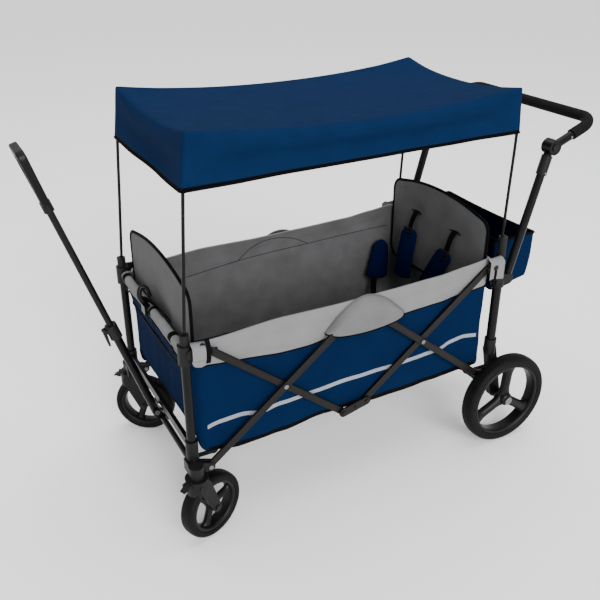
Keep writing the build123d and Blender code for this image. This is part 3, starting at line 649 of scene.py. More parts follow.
def basket():
    """The whole sewn basket as one skin: blue below, pale band above, dark inside."""
    points = round_rect(0.0, HALF_X, HALF_Y, CORNER_R, 10, (84, 44))
    columns = [wall_column(p, n) for p, n, _ in points]
    rows = [[column[i] for column in columns] for i in range(len(columns[0]))]
    blue, stripe, pale, lining, binding = range(5)

    def slot_of(i, j):
        on_long_side = points[j][2] in (0, 2)
        if on_long_side and i in (STRIPE_ROW, STRIPE_ROW + 1):
            return stripe
        if on_long_side and i == 0:
            return binding
        if i < PIPING_ROW:
            return blue
        return pale if i < INSIDE_ROW else lining

    skin = grid("basket_skin", rows, [BLUE, STRIPE, PALE, LINING, PIPING], slot_of, wrap=True)
    settle(skin, "front_top", "basket_walls", BASKET_FOLD)
    piping = [column[PIPING_ROW] + n * 0.0008 for (_, n, _), column in zip(points, columns)]
    hem = [column[0] - n * (CLOTH_T / 2) for (_, n, _), column in zip(points, columns)]
    band = [Vector((HALF_X + front_lean(y) * (RAIL_X - HALF_X) * lean_share(FRONT_WEB, RAIL_Z)
                    + 0.003, y, FRONT_WEB + 0.012 * (y / 0.24) ** 2))
            for y in [-0.243 + 0.486 * k / 40 for k in range(41)]]
    for trim in (tube("basket_piping", piping, 0.0021, PIPING, closed=True),
                 tube("basket_hem_binding", hem, 0.0024, PIPING, closed=True),
                 strap("front_panel_webbing", band, (0, 0, 1), 0.012, WEBBING)):
        settle(trim, "front_top", fold=BASKET_FOLD)
    # Seam lines drawn dark on the inner walls: painted shade along the seams.
    for side, sign in SIDES:
        for name, line in (("long", INSIDE_SEAM), ("arch", INSIDE_ARCH)):
            path = [inner_point(x, sign, z) for x, z in eased(line)]
            settle(tube(f"inside_{name}_seam_{side}", path, 0.0012, SEAM_SHADE, 6), "front_top",
                   fold=BASKET_FOLD)


def inner_point(x, sign, z):
    """A point just off the inside face of a side wall."""
    p, n = Vector((x, sign * HALF_Y, 0)), Vector((0, sign, 0))
    hem, _, piping, top, _ = wall_lines(p)
    gap = mix(CLOTH_T / 2, ROLL_R, smooth((z - (top - 0.045)) / 0.045))
    return p - n * (gap + wall_ripple(p, z, hem, piping, top) + 0.0003) + up(z)


def pocket(side, sign):
    """The cloth pocket over an upper hub: open below, sewn to the wall along its arch."""
    x0, x1 = POCKET_X

    def point(v, u):
        t = -1 + 2 * u
        arch = 1 - t * t
        low = 0.556 - 0.004 * t - 0.016 * arch
        high = low + (POCKET_TOP + 0.004 - low) * arch + 0.001
        stand = (1 - v**6) * (1 - t**10)
        fold = 0.0012 * wobble(t * 0.3, sign, v * 0.4, 9.0, 5.0)
        return Vector((mix(x0, x1, u), sign * (0.2795 + (POCKET_OUT + fold) * stand),
                       mix(low, high, v)))

    rows = patch_rows(22, 56, point)
    skin = thicken(grid(f"hub_pocket_{side}", rows, [POCKET_CLOTH]), 0.0016)
    lower = tube(f"hub_pocket_piping_{side}", rows[0], 0.0024, PIPING)
    upper = tube(f"hub_pocket_seam_{side}", [p + Vector((0, sign * 0.0012, 0)) for p in rows[-1]],
                 0.0016, LINING_PALE)
    for piece in (skin, lower, upper):
        settle(piece, "upper_hubs", fold=POCKET_FOLD)


# ---- floor mats -----------------------------------------------------------------------------
def slab_pad(name, low, high, crown, node, body, channels=()):
    """A stitched foam mat: flat below, crowned above, drawn in along its cross seams."""
    size, middle = high - low, (low + high) / 2

    def face(upper):
        def point(s, t):
            x, y = mix(low.x, high.x, s), mix(low.y, high.y, t)
            edge = min(min(s, 1 - s) * size.x, min(t, 1 - t) * size.y)
            round_off = (1 - clamp(1 - edge / 0.012) ** 2) ** 0.5
            rise = 0.5 + 0.5 * round_off
            if not upper:
                return Vector((x, y, mix(high.z, low.z, rise)))
            seam = min([abs(x - c) for c in channels] or [1.0])
            dip = 0.5 + 0.5 * smooth(seam / 0.02)
            puff = crown * round_off * dip * (1 + 0.25 * wobble(x, y, 0.0, 9.0, 2.0))
            return Vector((x, y, mix(low.z, high.z - crown, rise) + puff))
        return patch_rows(60, 40, point)

    top = grid(name, face(True), [MAT_CLOTH])
    under = grid(name + "_under", [row[::-1] for row in face(False)], [MAT_CLOTH])
    pad = weld(joined(name, [top, under]), 0.0004)
    settle(pad, body, node)
    corners = [(low.x, low.y), (high.x, low.y), (high.x, high.y), (low.x, high.y)]
    rim = []
    for k, (x, y) in enumerate(corners):
        for to, share in ((corners[k - 1], 0.04), (middle, 0.02), (corners[(k + 1) % 4], 0.04)):
            rim.append((mix(x, to[0], share), mix(y, to[1], share), middle.z))
    settle(tube(name + "_binding", catmull(rim, 6, closed=True), 0.004, PIPING, closed=True), body)


def floor_mats():
    for end in ("front", "rear"):
        low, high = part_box(f"{end}_floor_mat")
        low, high = low + Vector((0.004, 0.004, 0)), high - Vector((0.004, 0.004, 0))
        channels = [mix(low.x, high.x, share) for share in (0.25, 0.75)]
        slab_pad(f"{end}_mat", low, high, 0.004, f"{end}_floor_mat", f"{end}_floor", channels)
    low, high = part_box("centre_floor_mat")
    inset = Vector((0.002, 0.004, 0))
    slab_pad("centre_mat", low + inset, high - inset, 0.002, "centre_floor_mat", "lower_hubs")


# ---- backrests ------------------------------------------------------------------------------
def arch_outline(half_w, foot, side, mid, corner, steps=30):
    """Round a panel with an arched top, from its lower right, as (y, z)."""
    rise = mid - side
    radius = (half_w**2 + rise**2) / (2 * rise)

    def top_z(y):
        return mid - radius + (radius**2 - y**2) ** 0.5

    inner = half_w - corner
    shoulder = top_z(inner) - corner
    right = arc(inner, foot + corner, corner, -90, 0, 8)
    right += [(half_w, mix(foot + corner, shoulder, k / 16)) for k in range(1, 16)]
    right += arc(inner, shoulder, corner, 0, 90, 9)
    left = [(-y, z) for y, z in reversed(right)]
    across = [mix(inner, -inner, k / steps) for k in range(1, steps)]
    return right + [(y, top_z(y)) for y in across] + left + [(-y, foot) for y in across]


def pillow(name, outline, x, thick, back_material, pinches, facing):
    """A padded panel across X: two crowned faces inside one outline, drawn in at the pinches."""
    middle_z = sum(z for _, z in outline) / len(outline)
    front, back = [], []
    for s in (1.0, 0.985, 0.965, 0.94, 0.90, 0.84, 0.76, 0.66, 0.55, 0.43, 0.31, 0.19, 0.08):
        puff = facing * (1 - s**9) ** 0.5 * (0.82 + 0.18 * (1 - s * s))
        front_row, back_row = [], []
        for y, z in [(y * s, middle_z + (z - middle_z) * s) for y, z in outline]:
            crease = sum(depth * (1 - smooth(hypot((y - py) / 1.8, z - pz) / reach))
                         for py, pz, depth, reach in pinches)
            uneven = 0.0011 * wobble(x, y, z, 9.0, facing) + 0.0008 * wobble(x, y, z, 24.0, 4.0)
            front_row.append(Vector((x + puff * (thick / 2 + uneven - crease), y, z)))
            back_row.append(Vector((x - puff * (thick / 2 * 0.85 - uneven), y, z)))
        front.append(front_row)
        back.append(back_row)
    split = len(back) - 1
    return weld(grid(name, back[::-1] + front[1:], [REST_CLOTH, back_material],
                     lambda i, j: 0 if i >= split else 1, wrap=True, cap=True))


def backrests():
    """Two arched panels facing each other, with harness slits drawn into the rear one."""
    low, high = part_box("front_backrest")
    front_x = (low.x + high.x) / 2
    slits = [(y, 0.692, 0.0045, 0.05) for y in (-0.112, 0.112)]
    for end, x, facing, outer, pinches in (("front", front_x, -1, LINING_PALE, []),
                                           ("rear", -front_x, 1, BLUE, slits)):
        low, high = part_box(f"{end}_backrest")
        outline = arch_outline(high.y - 0.004, low.z + 0.004, high.z - 0.042, high.z - 0.004, 0.040)
        pad = pillow(f"{end}_backrest_pad", outline, x, 0.0125, outer, pinches, facing)
        settle(pad, f"{end}_top", f"{end}_backrest")
        path = catmull([(x, y, z) for y, z in outline[::2]], 2, closed=True)
        settle(tube(f"{end}_backrest_piping", path, 0.0048, PIPING, 10, closed=True), f"{end}_top")


# ---- harness --------------------------------------------------------------------------------
def long_pad(name, top, bottom, width_top, width_low, face):
    """A flat oval pad from top to bottom, crowned on both faces."""
    thick, bow = 0.018, 0.006
    top, bottom, face = Vector(top), Vector(bottom), Vector(face).normalized()
    run = (bottom - top).normalized()
    length = (bottom - top).length
    side = run.cross(face).normalized()

    def point(s, a):
        end_top = (1 - clamp(1 - s * length / 0.030) ** 2) ** 0.5
        end_low = (1 - clamp(1 - (1 - s) * length / 0.018) ** 2) ** 0.5
        half_w = mix(width_top, width_low, s) / 2 * max(0.06, end_top * end_low)
        half_t = thick / 2 * max(0.12, min(end_top, end_low))
        out = bow * sin(pi * s) + half_t * sin(a) * (1 - 0.35 * abs(cos(a)) ** 3)
        return top + run * (s * length) + side * (half_w * cos(a)) + face * out

    pad = grid(name, ring_rows(34, 22, point), [PAD_BLUE], wrap=True, cap=True)
    return pad


def ladder_buckle(name, at, width, height):
    """A webbing slide: a rounded frame with one middle bar."""
    x, y, z = at
    w, h = width / 2, height / 2
    ring = [(x, y + a * w, z + b * h) for a, b in ((-1, -1), (0, -1), (1, -1), (1, 0), (1, 1), (0, 1),
                                                   (-1, 1), (-1, 0))]
    path = catmull(ring, 5, closed=True)
    ring_piece = tube(name + "_ring", path, 0.0024, BUCKLE, closed=True)
    bar = tube(name + "_bar", [(x, y - w, z), (x, y, z + 0.0003), (x, y + w, z)], 0.0024, BUCKLE)
    return joined(name, [ring_piece, bar])


def harness():
    """Two shoulder straps out of slits, with adjusters and blue pads, then the hip pads."""
    face_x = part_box("rear_backrest")[1].x
    pads = (("right", None, -0.106, -0.116, -0.130, 0.632, 0.436),
            ("left", "harness_pads", 0.108, 0.090, 0.006, 0.622, 0.452))
    for side, node, y_slit, y_top, y_low, z_top, z_low in pads:
        pad = long_pad(f"shoulder_pad_{side}", (face_x + 0.014, y_top, z_top),
                       (face_x + 0.030, y_low, z_low), 0.060, 0.066, (0.85, 0.45, 0.15))
        settle(pad, "rear_top", node, HARNESS_FOLD)
        run = [(face_x - 0.0020, y_slit, 0.694), (face_x + 0.0040, y_slit, 0.690),
               (face_x + 0.010, mix(y_slit, y_top, 0.5), 0.668),
               (face_x + 0.019, y_top, z_top - 0.004),
               (face_x + 0.026, mix(y_top, y_low, 0.15), z_top - 0.030)]
        slit = [(face_x + 0.0015, y_slit - 0.027, 0.6905), (face_x + 0.0005, y_slit, 0.695),
                (face_x + 0.0015, y_slit + 0.027, 0.6905)]
        slide_at = (face_x + 0.0250, mix(y_top, y_low, 0.06), z_top - 0.012)
        for piece in (
            strap(f"shoulder_strap_{side}", catmull(run, 6), (0.1, 1, 0), 0.026, WEBBING),
            ladder_buckle(f"shoulder_adjuster_{side}", slide_at, 0.038, 0.026),
            tube(f"harness_slit_{side}", catmull(slit, 6), 0.0020, PIPING),
        ):
            settle(piece, "rear_top", fold=HARNESS_FOLD)
    hip_and_crotch()


def hip_and_crotch():
    """Hip pads at the sides of the rear seat, and the straps and buckle that lie on the floor."""
    for side, sign in SIDES:
        pad = long_pad(f"hip_pad_{side}", (-0.434, sign * 0.246, 0.546),
                       (-0.412, sign * 0.238, 0.396), 0.050, 0.086, (0.25, -sign, 0.2))
        settle(pad, "rear_top", fold=HARNESS_FOLD)
        run = [(x, sign * y, z) for x, y, z in (
            (-0.402, 0.234, 0.402), (-0.392, 0.222, 0.360), (-0.376, 0.180, 0.330),
            (-0.335, 0.110, 0.3235), (-0.318, 0.050, 0.3215))]
        settle(strap(f"hip_strap_{side}", catmull(run, 8), (0.7, 0.4 * sign, 0.1), 0.022, WEBBING),
               "rear_floor")
    centre = Vector((-0.318, 0.0, MAT_TOP + 0.0085))
    run = [(-0.318, 0, MAT_TOP + 0.004), (-0.360, 0.004, MAT_TOP + 0.003), (-0.405, 0, MAT_TOP + 0.0022)]
    for piece in (
        bevelled("crotch_buckle", (0.040, 0.062, 0.013), centre, BUCKLE, 0.005, 4),
        bevelled("crotch_buckle_button", (0.020, 0.024, 0.006), centre + up(0.006), BUCKLE),
        strap("crotch_strap", catmull(run, 8), (0, 1, 0), 0.024, WEBBING),
    ):
        settle(piece, "rear_floor")


# ---- canopy ---------------------------------------------------------------------------------
def canopy_ring(rise):
    """Round the canopy's plan at a height from 0 (hem) to 1: point and outward direction."""
    inset = CLOTH_T / 2 + 0.0002
    x0 = CANOPY_LO.x + TOP_IN[0] * rise + inset
    x1 = CANOPY_HI.x - TOP_IN[1] * rise - inset
    ring = round_rect((x0 + x1) / 2, (x1 - x0) / 2, CANOPY_HALF.y - inset, 0.012, CANOPY_ARC,
                      CANOPY_COUNTS, shift=0.5)
    return [(p, n) for p, n, _ in ring]


def canopy_share(p):
    """A point's place in plan, each way from -1 to 1."""
    return (clamp((p.x - CANOPY_MID.x) / CANOPY_HALF.x, -1, 1),
            clamp((p.y - CANOPY_MID.y) / CANOPY_HALF.y, -1, 1))


def canopy_top_z(p):
    """The sheet hangs between its four corners, along its length and across."""
    s, t = canopy_share(p)
    sag = 0.036 * (1 - abs(s) ** 2.1) + 0.027 * (1 - t * t) * (0.30 + 0.70 * abs(s) ** 2.5)
    crease = 0.0020 * wobble(p.x, p.y, 0.0, 6.0, 7.0) + 0.0009 * wobble(p.x, p.y, 0.0, 17.0, 1.0)
    pull = 0.0030 * wobble(p.x, p.y, 0.0, 26.0, 5.0) * (abs(s) * abs(t)) ** 3
    edge = (1 - abs(s) ** 12) * (1 - abs(t) ** 12)
    return CANOPY_HI.z - 0.001 - sag + (crease + pull) * edge


def from_corner(p):
    """0 at a corner, 1 away from it."""
    s, t = canopy_share(p)
    return smooth(((1 - abs(s)) * CANOPY_HALF.x + (1 - abs(t)) * CANOPY_HALF.y) / 0.16)


def canopy():
    """One sheet: a sagging top, a soft turn, and a hanging edge that dents and flares."""
    hanging, turn = 14, 6
    rows = []
    for i in range(hanging + 1):
        v = i / hanging
        row = []
        for p, n in canopy_ring(v):
            s, _ = canopy_share(p)
            soft = from_corner(p)
            low = mix(HEM_Z[0], HEM_Z[1], 0.5 + 0.5 * s) + 0.003 * (1 - s * s)
            z = mix(low, canopy_top_z(p) - mix(0.004, ROLL_TOP, soft), v)
            dent = 0.0130 * sin(pi * clamp(v * 1.2)) ** 1.4 - 0.003 * v**4
            wave = 0.0045 * (1.1 - v) * wobble(p.x * 1.1, p.y * 1.1, z * 0.6, 6.0, 11.0)
            row.append(p + n * ((wave - dent) * soft - 0.001) + up(z))
        rows.append(row)
    for i in range(1, turn + 1):
        a = radians(90 * i / turn)
        row = []
        for p, n in canopy_ring(1.0):
            roll = mix(0.004, ROLL_TOP, from_corner(p))
            row.append(p - n * (roll * (1 - cos(a)) + 0.001)
                       + up(canopy_top_z(p) - roll * (1 - sin(a))))
        rows.append(row)
    edge = rows[-1]
    for share in (0.985, 0.965, 0.93, 0.88, 0.81, 0.73, 0.64, 0.55, 0.46, 0.37, 0.28, 0.19, 0.10, 0.03):
        row = []
        for q in edge:
            x, y = mix(CANOPY_MID.x, q.x, share), mix(CANOPY_MID.y, q.y, share)
            z = mix(canopy_top_z(Vector((x, y, 0))), q.z, smooth((share - 0.93) / 0.07))
            row.append(Vector((x, y, z)))
        rows.append(row)
    skin = grid("canopy_sheet", rows, [CANOPY_BLUE, PIPING], lambda i, j: 1 if i == 0 else 0, wrap=True)
    n = len(edge)
    close_row(skin, range((len(rows) - 1) * n, len(rows) * n))
    thicken(skin, 0.0014)
    settle(skin, "front_top", "canopy", CANOPY_FOLD)
    canopy_trims(rows, hanging + turn)


def canopy_trims(rows, top_row):
    """Hem binding and the double stitched seams up each corner."""
    pieces = [tube("canopy_hem", rows[0], 0.0034, PIPING, closed=True)]
    n = len(rows[0])
    start = 0
    for k in range(4):
        apart = 6 if k % 2 == 0 else -6
        for m, shift in enumerate((0, apart)):
            path = [row[(start + CANOPY_ARC // 2 + shift) % n] for row in rows[:top_row]]
            pieces.append(tube(f"canopy_corner_seam_{k}_{m}", path, 0.0013 - 0.0004 * m,
                               CANOPY_BLUE, 6))
        start += CANOPY_ARC + CANOPY_COUNTS[k % 2] - 1
    for piece in pieces:
        settle(piece, "front_top", fold=CANOPY_FOLD)


def canopy_bows():
    """Bent rods: up from the sockets, round two corners, and dipping under the canopy's end."""
    radius, knee_z = 0.0045, 1.044
    for end in ("front", "rear"):
        low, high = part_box(f"{end}_canopy_bow")
        foot_x = high.x - radius
        if end == "front":
            head_x = low.x + radius
            knee_x = mix(head_x, foot_x, 0.36)
        else:
            head_x = (low.x + high.x) / 2
            knee_x = low.x + radius
        y, top = high.y - radius, high.z - radius
        half = [(foot_x, y, low.z), (mix(foot_x, knee_x, 0.5), y - 0.0025, (low.z + knee_z) / 2),
                (knee_x, y - 0.0050, knee_z), (mix(knee_x, head_x, 0.7), y - 0.0060, top - 0.040),
                (head_x, y - 0.0085, top - 0.010), (head_x, y - 0.0240, top - 0.0015),
                (head_x, y - 0.0800, top - 0.010), (head_x, y - 0.1700, top - 0.0235)]
        path = half + [(head_x, 0.0, top - 0.028)] + [(x, -v, z) for x, v, z in reversed(half)]
        rod = tube(f"{end}_bow_rod", catmull(path, 8), radius, NODE_LOOKS["handle_tube"], 14)
        settle(rod, f"{end}_top", f"{end}_canopy_bow")


# ---- rear bag -------------------------------------------------------------------------------
def bag_outward(v, half_x, half_y):
    """Outward direction near the edge of the bag's plan, from a point's place in it."""
    n = Vector(((1 if v.x > 0 else -1) * (abs(v.x) / half_x) ** 40,
                (1 if v.y > 0 else -1) * (abs(v.y) / half_y) ** 40, 0))
    return n.normalized() if n.length > 1e-9 else Vector((0, 0, 0))


def rear_bag():
    """An open bag that sags: cloth walls round a soft bottom, darker inside with painted shade."""
    low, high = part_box("rear_bag")
    cx = (low.x + high.x) / 2
    hx, hy = (high.x - low.x) / 2 - 0.002, high.y - 0.002
    corner = 0.014

    def ring(tuck):
        """Kept in plain numbers: the end walls' middle points lie exactly on cx."""
        out = []
        a_x, a_y = hx - tuck, hy - tuck
        for k, (sx, sy) in enumerate(((1, 1), (-1, 1), (-1, -1), (1, -1))):
            px, py = cx + sx * (a_x - corner), sy * (a_y - corner)
            for j in range(5):
                a = radians(90 * k + 90 * j / 5)
                out.append((px + corner * cos(a), py + corner * sin(a)))
            length, count = 2 * ((a_x, a_y)[k % 2] - corner), (18, 40)[k % 2]
            run = ((-1, 0), (0, -1), (1, 0), (0, 1))[k]
            n = (cos(radians(90 * k + 90)), sin(radians(90 * k + 90)))
            for j in range(count):
                d = length * j / count
                out.append((px + n[0] * corner + run[0] * d, py + n[1] * corner + run[1] * d))
        return out

    def height(x, v, y):
        back = clamp((high.x - x) / (high.x - low.x))
        foot = low.z + 0.032 * back + 0.004
        rim = high.z - 0.004 - 0.006 * (1 - (y / hy) ** 2) * back
        return mix(foot, rim, v)

    rows, levels = [], 16
    for s in (0.25, 0.5, 0.75, 0.93):
        spots = [(cx + (x - cx) * s, y * s) for x, y in ring(0.007)]
        rows.append([Vector((x, y, height(x, 0.0, y) - 0.003 * (1 - s))) for x, y in spots])
    for i in range(levels + 1):
        v = i / levels
        row = []
        for x, y in ring(0.007 * (1 - v) ** 4):
            z = height(x, v, y)
            sag = 0.006 * sin(pi * min(1.0, v * 1.1)) * wobble(x, y, z, 9.0, 21.0)
            n = bag_outward(Vector((x - cx, y, 0)), hx, hy)
            row.append(Vector((x, y, z)) + n * ((sag - 0.003) * (1.0 if x < cx else 0.25)))
        rows.append(row)
    skin = grid("rear_bag_shell", rows, [BLUE, BAG_INSIDE_SHADE], wrap=True)
    close_row(skin, reversed(range(len(rows[0]))))
    # The inner face gets the darker blue: painted shade inside the bag.
    thicken(skin, 0.003, -1.0, 1)
    settle(skin, "rear_top", "rear_bag")
    rim = [p + up(0.0005) for p in rows[-1]]
    settle(tube("rear_bag_rim", rim, 0.0042, PIPING, 10, closed=True), "rear_top")
    for side, sign in SIDES:
        loop = [(high.x + out, sign * (hy - 0.035), high.z + rise) for out, rise in (
            (-0.006, -0.030), (0.0015, 0.004), (0.010, -0.045), (0.012, -0.075), (0.004, -0.088))]
        settle(strap(f"rear_bag_loop_{side}", catmull(loop, 6), (0, 1, 0), 0.024, WEBBING),
               "rear_top")


# ---- corner patches, straps and buckles -----------------------------------------------------
def at_side(sign, points):
    return [(x, sign * y, z) for x, y, z in points]


def front_corners():
    """Pale patch over the bar's end, a rounded tab below it, a strap loop and a buckle."""
    for side, sign in SIDES:
        def patch_point(v, u):
            bulge = 0.0022 * sin(pi * u) * sin(pi * v)
            tuck = 0.009 * smooth((u - 0.80) / 0.20) + 0.020 * smooth((v - 0.80) / 0.2)
            return Vector((mix(0.506, 0.452, u), sign * (0.3062 + bulge - tuck),
                           mix(0.586 - 0.004 * u, 0.634 - 0.006 * u, v)))

        def tab_point(v, u):
            t = -1 + 2 * u
            half = 0.0235 * (1 - v**2.6) ** 0.5 + 0.0006
            return Vector((0.4835 + half * t, sign * (0.3045 + 0.0012 * cos(t * pi / 2) - 0.004 * v),
                           mix(0.588, 0.563, v)))

        patch = grid(f"front_corner_patch_{side}", patch_rows(12, 16, patch_point), [PALE])
        tab = grid(f"front_corner_tab_{side}", patch_rows(8, 12, tab_point), [PALE])
        thicken(patch, 0.0016)
        thicken(tab, 0.0018)
        loop = at_side(sign, ((0.4635, 0.2985, 0.641), (0.463, 0.3072, 0.630), (0.4625, 0.3090, 0.606),
                              (0.463, 0.3072, 0.584), (0.4635, 0.3040, 0.572)))
        for piece in (
            patch, tab,
            strap(f"front_corner_strap_{side}", catmull(loop, 6), (1, 0, 0), 0.013, WEBBING),
            bevelled(f"front_corner_buckle_{side}", (0.017, 0.008, 0.022),
                     (0.4455, sign * 0.3060, 0.604), BUCKLE),
            bevelled(f"front_corner_buckle_tongue_{side}", (0.010, 0.004, 0.012),
                     (0.4455, sign * 0.3105, 0.604), BUCKLE, 0.0015),
        ):
            settle(piece, "front_top")


def rear_corners():
    """A pale flap with a round snap button, and its strap."""
    for side, sign in SIDES:
        def flap_point(v, u):
            z = mix(0.610 - 0.012 * u, 0.668 + 0.004 * u, v)
            z -= 0.012 * (1 - smooth(u / 0.25)) * (0.5 - v)
            y = 0.3045 + 0.0020 * sin(pi * u) - 0.018 * smooth((v - 0.8) / 0.2)
            return Vector((mix(-0.468, -0.523, u), sign * y, z))

        flap = grid(f"rear_corner_flap_{side}", patch_rows(12, 16, flap_point), [PALE])
        thicken(flap, 0.0018)
        snap = [(r, sign * out) for r, out in ((0.0004, 0.0032), (0.0045, 0.0030), (0.0078, 0.0018),
                                               (0.0088, 0.0), (0.0080, -0.0012), (0.0004, -0.0012))]
        tail = at_side(sign, ((-0.487, 0.3078, 0.640), (-0.4868, 0.3086, 0.622),
                              (-0.4862, 0.3072, 0.603), (-0.4855, 0.3040, 0.588)))
        for piece in (
            flap,
            lathe(f"rear_corner_snap_{side}", snap,
                  Matrix.Translation((-0.487, sign * 0.3075, 0.6435)), BUCKLE, 40),
            strap(f"rear_corner_strap_{side}", catmull(tail, 6), (1, 0, 0), 0.009, WEBBING),
        ):
            settle(piece, "rear_top")


def on_rail(points):
    """Points given from the middle of the front rail."""
    return [(RAIL_X + x, y, RAIL_Z + z) for x, y, z in points]


def rail_straps():
    """Webbing round the front rail, and the flap and hook that hold the stowed pull handle."""
    for name, y, width in (("far", -0.222, 0.020), ("near", 0.196, 0.020), ("clip_left", 0.028, 0.012),
                           ("clip_right", -0.028, 0.012)):
        loop = [(x, y, z) for x, z in arc(RAIL_X, RAIL_Z, WRAP_R + 0.0016, -120, 160, 10)]
        tail = [(HALF_X + 0.0255, y, RAIL_Z - 0.045), (HALF_X + 0.0285, y, RAIL_Z - 0.028)]
        settle(strap(f"rail_strap_{name}", catmull(tail + loop, 4), (0, 1, 0), width, WEBBING),
               "front_top", fold=BASKET_FOLD)
    flap = on_rail(((0.012, -0.030, 0.010), (0.004, -0.010, 0.022), (-0.006, 0.030, 0.021),
                    (-0.014, 0.075, 0.016), (-0.018, 0.110, 0.008)))
    settle(strap("stow_strap_flap", catmull(flap, 6), (0.5, 0, 0.8), 0.030, WEBBING, 0.0026),
           "front_top", fold=BASKET_FOLD)
    hook = on_rail(((0.012, -0.02, 0.008), (0.022, -0.024, 0.032), (0.016, -0.028, 0.054),
                    (0.0, -0.026, 0.052), (-0.008, -0.020, 0.026)))
    settle(tube("stow_clip_hook", catmull(hook, 6), lambda t: 0.0085 - 0.0030 * t, BUCKLE, 12),
           "front_top")


# ---- wheels ---------------------------------------------------------------------------------
def mirrored(profile):
    """A wheel's section from one edge to its middle, continued to the other edge."""
    return profile + [(r, -across) for r, across in reversed(profile)]


def tyre_section(r, half, depth):
    """Half-round tyre section as (radius, across), from one bead to the other."""
    shares = ((1.0, 0.82), (0.80, 0.97), (0.62, 1.0), (0.56, 0.965), (0.50, 1.0), (0.30, 0.95),
              (0.14, 0.80), (0.05, 0.58), (0.015, 0.34), (0.0, 0.12))
    return eased(mirrored([(r - depth * down, -half * across) for down, across in shares]), 3)


def rim_section(rim_r, half):
    """The ring between spokes and tyre, with rolled lips, as (radius, across)."""
    w = half * 0.86
    inside = [(rim_r - 0.0018, -w * 1.01), (rim_r - 0.0060, -w), (rim_r - 0.0090, -w * 0.86)]
    hollow = [(rim_r - 0.0105, -w * 0.45), (rim_r - 0.0110, 0.0), (rim_r - 0.0105, w * 0.45)]
    lips = [(r, -across) for r, across in reversed(inside)]
    bed = [(rim_r + 0.0008, w * 0.93), (rim_r + 0.0008, -w * 0.93)]
    return inside[-1:] + hollow + lips + bed + inside


def wheel(end, side, yaw, width, depth, hub_r, spoke_r, turn, sipes=0):
    """A tyre with tread, and a rim with a channelled ring and three flared spokes."""
    name = f"{end}_{side}"
    low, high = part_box(f"{end}_tyre_{side}")
    r, half = (high.z - low.z) / 2, width / 2
    rim_r = r - depth
    place = Matrix.Translation((low + high) / 2) @ Matrix.Rotation(yaw, 4, "Z")

    def tread(radius, y, a):
        if radius < r - depth * 0.35:
            return 0.0
        out = abs(y) / half
        centre_line = 1 - smooth(abs(out - 0.22) / 0.07)
        if not sipes:
            return -0.0010 * centre_line
        phase = (a * sipes / tau + out * 0.9) % 1.0
        groove = (1 - smooth(abs(phase - 0.5) / 0.16)) * clamp((out - 0.20) / 0.15)
        return -0.0016 * max(groove, centre_line * 0.8)

    def spoke(angle):
        out, across = Vector((cos(angle), 0, sin(angle))), Vector((-sin(angle), 0, cos(angle)))

        def point(t, b):
            flare = 1 + 0.55 * (1 - smooth(t / 0.30)) + 0.75 * smooth((t - 0.72) / 0.28)
            flat = min(spoke_r * (0.92 + 0.10 * (flare - 1)), half * 0.86)
            return place @ (out * mix(0.2 * hub_r, rim_r - 0.004, t)
                            + across * (spoke_r * flare * cos(b)) + Vector((0, flat * sin(b), 0)))
        return ring_rows(20, 20, point)

    tyre = lathe(f"{name}_tyre_tread", tyre_section(r, half, depth), place, TYRE,
                 max(sipes * 5, 140), tread)
    parts = [lathe(f"{name}_ring", rim_section(rim_r, half), place, RIM, 120)]
    for n in range(3):
        parts.append(grid(f"{name}_spoke_{n}", spoke(turn + tau * n / 3), [RIM], wrap=True, cap=True))
    hub = [(0.0004, -half * 0.98), (hub_r * 0.55, -half * 0.98), (hub_r * 0.80, -half * 0.93),
           (hub_r, -half * 0.78), (hub_r * 1.08, -half * 0.4)]
    hub = hub + [(hub_r * 1.12, 0.0)] + mirrored(hub)[len(hub):]
    parts.append(lathe(f"{name}_hub", hub, place, RIM, 48))
    body = f"{end}_wheel_{side}"
    settle(tyre, body, f"{end}_tyre_{side}")
    settle(joined(f"{name}_rim_spokes", parts), body, f"{end}_rim_{side}")


def wheels():
    caster_yaw = {"left": radians(22), "right": radians(-35)}
    for side, _ in SIDES:
        low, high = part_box(f"rear_tyre_{side}")
        wheel("rear", side, 0.0, high.y - low.y, 0.030, 0.021, 0.0165, radians(95), sipes=66)
        wheel("front", side, caster_yaw[side], 0.046, 0.022, 0.015, 0.0115, radians(50))


# ---- small hardware -------------------------------------------------------------------------
def side_rivet(name, at, sign, body):
    """A domed rivet head standing on an outer face."""
    radius, brim = 0.0034, 0.0002
    profile = [(radius, -0.0006), (radius, brim)]
    profile += [(radius * cos(radians(a)), brim + 0.55 * radius * sin(radians(a)))
                for a in (15, 30, 45, 60, 75, 88)]
    place = Matrix.Translation(at) @ Matrix.Diagonal((sign, sign, 1, 1))
    settle(lathe(name, profile, place, STEEL, 28), body)


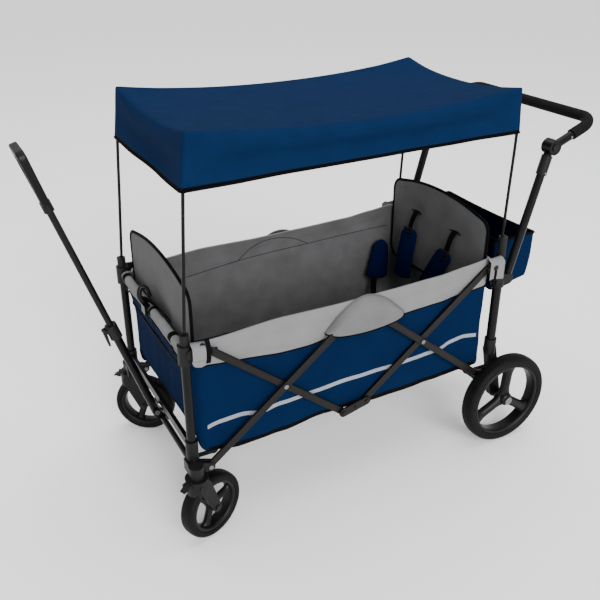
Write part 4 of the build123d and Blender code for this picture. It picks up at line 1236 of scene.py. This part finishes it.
def handle_rivets():
    """One rivet in each upper arm and each lower sleeve of the push handle."""
    low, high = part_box("push_button_left")
    hinge = (low + high) / 2
    arm = Vector((-cos(radians(22)), 0, sin(radians(22)))) * 0.066
    sleeve = Vector((0.112, 0, -0.420)).normalized() * 0.080
    for side, sign in SIDES:
        arm_at = Vector((hinge.x, sign * 0.3008, hinge.z)) + arm
        sleeve_at = Vector((hinge.x, sign * 0.2955, hinge.z)) + sleeve
        side_rivet(f"push_arm_rivet_{side}", arm_at, sign, "push_handle")
        side_rivet(f"push_sleeve_rivet_{side}", sleeve_at, sign, "rear_top")


# ---- floor, lights and camera ---------------------------------------------------------------
def stage():
    size = 60.0
    plane = make_object("studio_floor", [(-size, -size, 0), (size, -size, 0), (size, size, 0),
                                         (-size, size, 0)], [(0, 1, 2, 3)], [])
    material, tree, bsdf = shader("floor_paper", (0.92, 0.92, 0.92), 0.55, specular=0.25)
    tint = ramp(tree, noise_node(tree, 3.0, 3.0), 0.3, 0.7, (0.915, 0.915, 0.915), (0.93, 0.93, 0.93))
    tree.links.new(tint, bsdf.inputs["Base Color"])
    plane.data.materials.append(material)
    world = bpy.data.worlds.new("studio")
    bpy.context.scene.world = world
    world.use_nodes = True
    background = world.node_tree.nodes["Background"]
    background.inputs["Color"].default_value = (1.0, 1.0, 1.0, 1)
    background.inputs["Strength"].default_value = 0.80
    for name, kind, at, size, power in (
        ("key", "SUN", (0.3, 4.0, 2.4), radians(40), 4.9),
        ("overhead", "AREA", (-0.6, -0.6, 5.2), 5.0, 235.0),
        ("front", "AREA", (4.6, 1.2, 1.6), 1.8, 10.0),
    ):
        light = bpy.data.lights.new(name, kind)
        light.energy = power
        if kind == "SUN":
            light.angle = size
        else:
            light.size = size
        lamp = placed(name, light)
        lamp.location = at
        lamp.rotation_euler = (Vector((0, 0, 0.5)) - lamp.location).to_track_quat("-Z", "Y").to_euler()


def camera():
    data = bpy.data.cameras.new("camera")
    data.sensor_width = 36.0
    data.lens = 47.0472
    data.dof.use_dof = False
    obj = placed("camera", data)
    obj.location = (1.0696, 1.966, 1.6471)
    obj.rotation_mode = "QUATERNION"
    obj.rotation_quaternion = Vector((-0.41587, -0.78863, -0.45289)).to_track_quat("-Z", "Y")
    bpy.context.scene.camera = obj


# ---- assembly -------------------------------------------------------------------------------
dress_nodes()
basket()
for pocket_side, pocket_sign in SIDES:
    pocket(pocket_side, pocket_sign)
floor_mats()
backrests()
harness()
canopy()
canopy_bows()
rear_bag()
front_corners()
rear_corners()
rail_straps()
wheels()
handle_rivets()
stage()
camera()
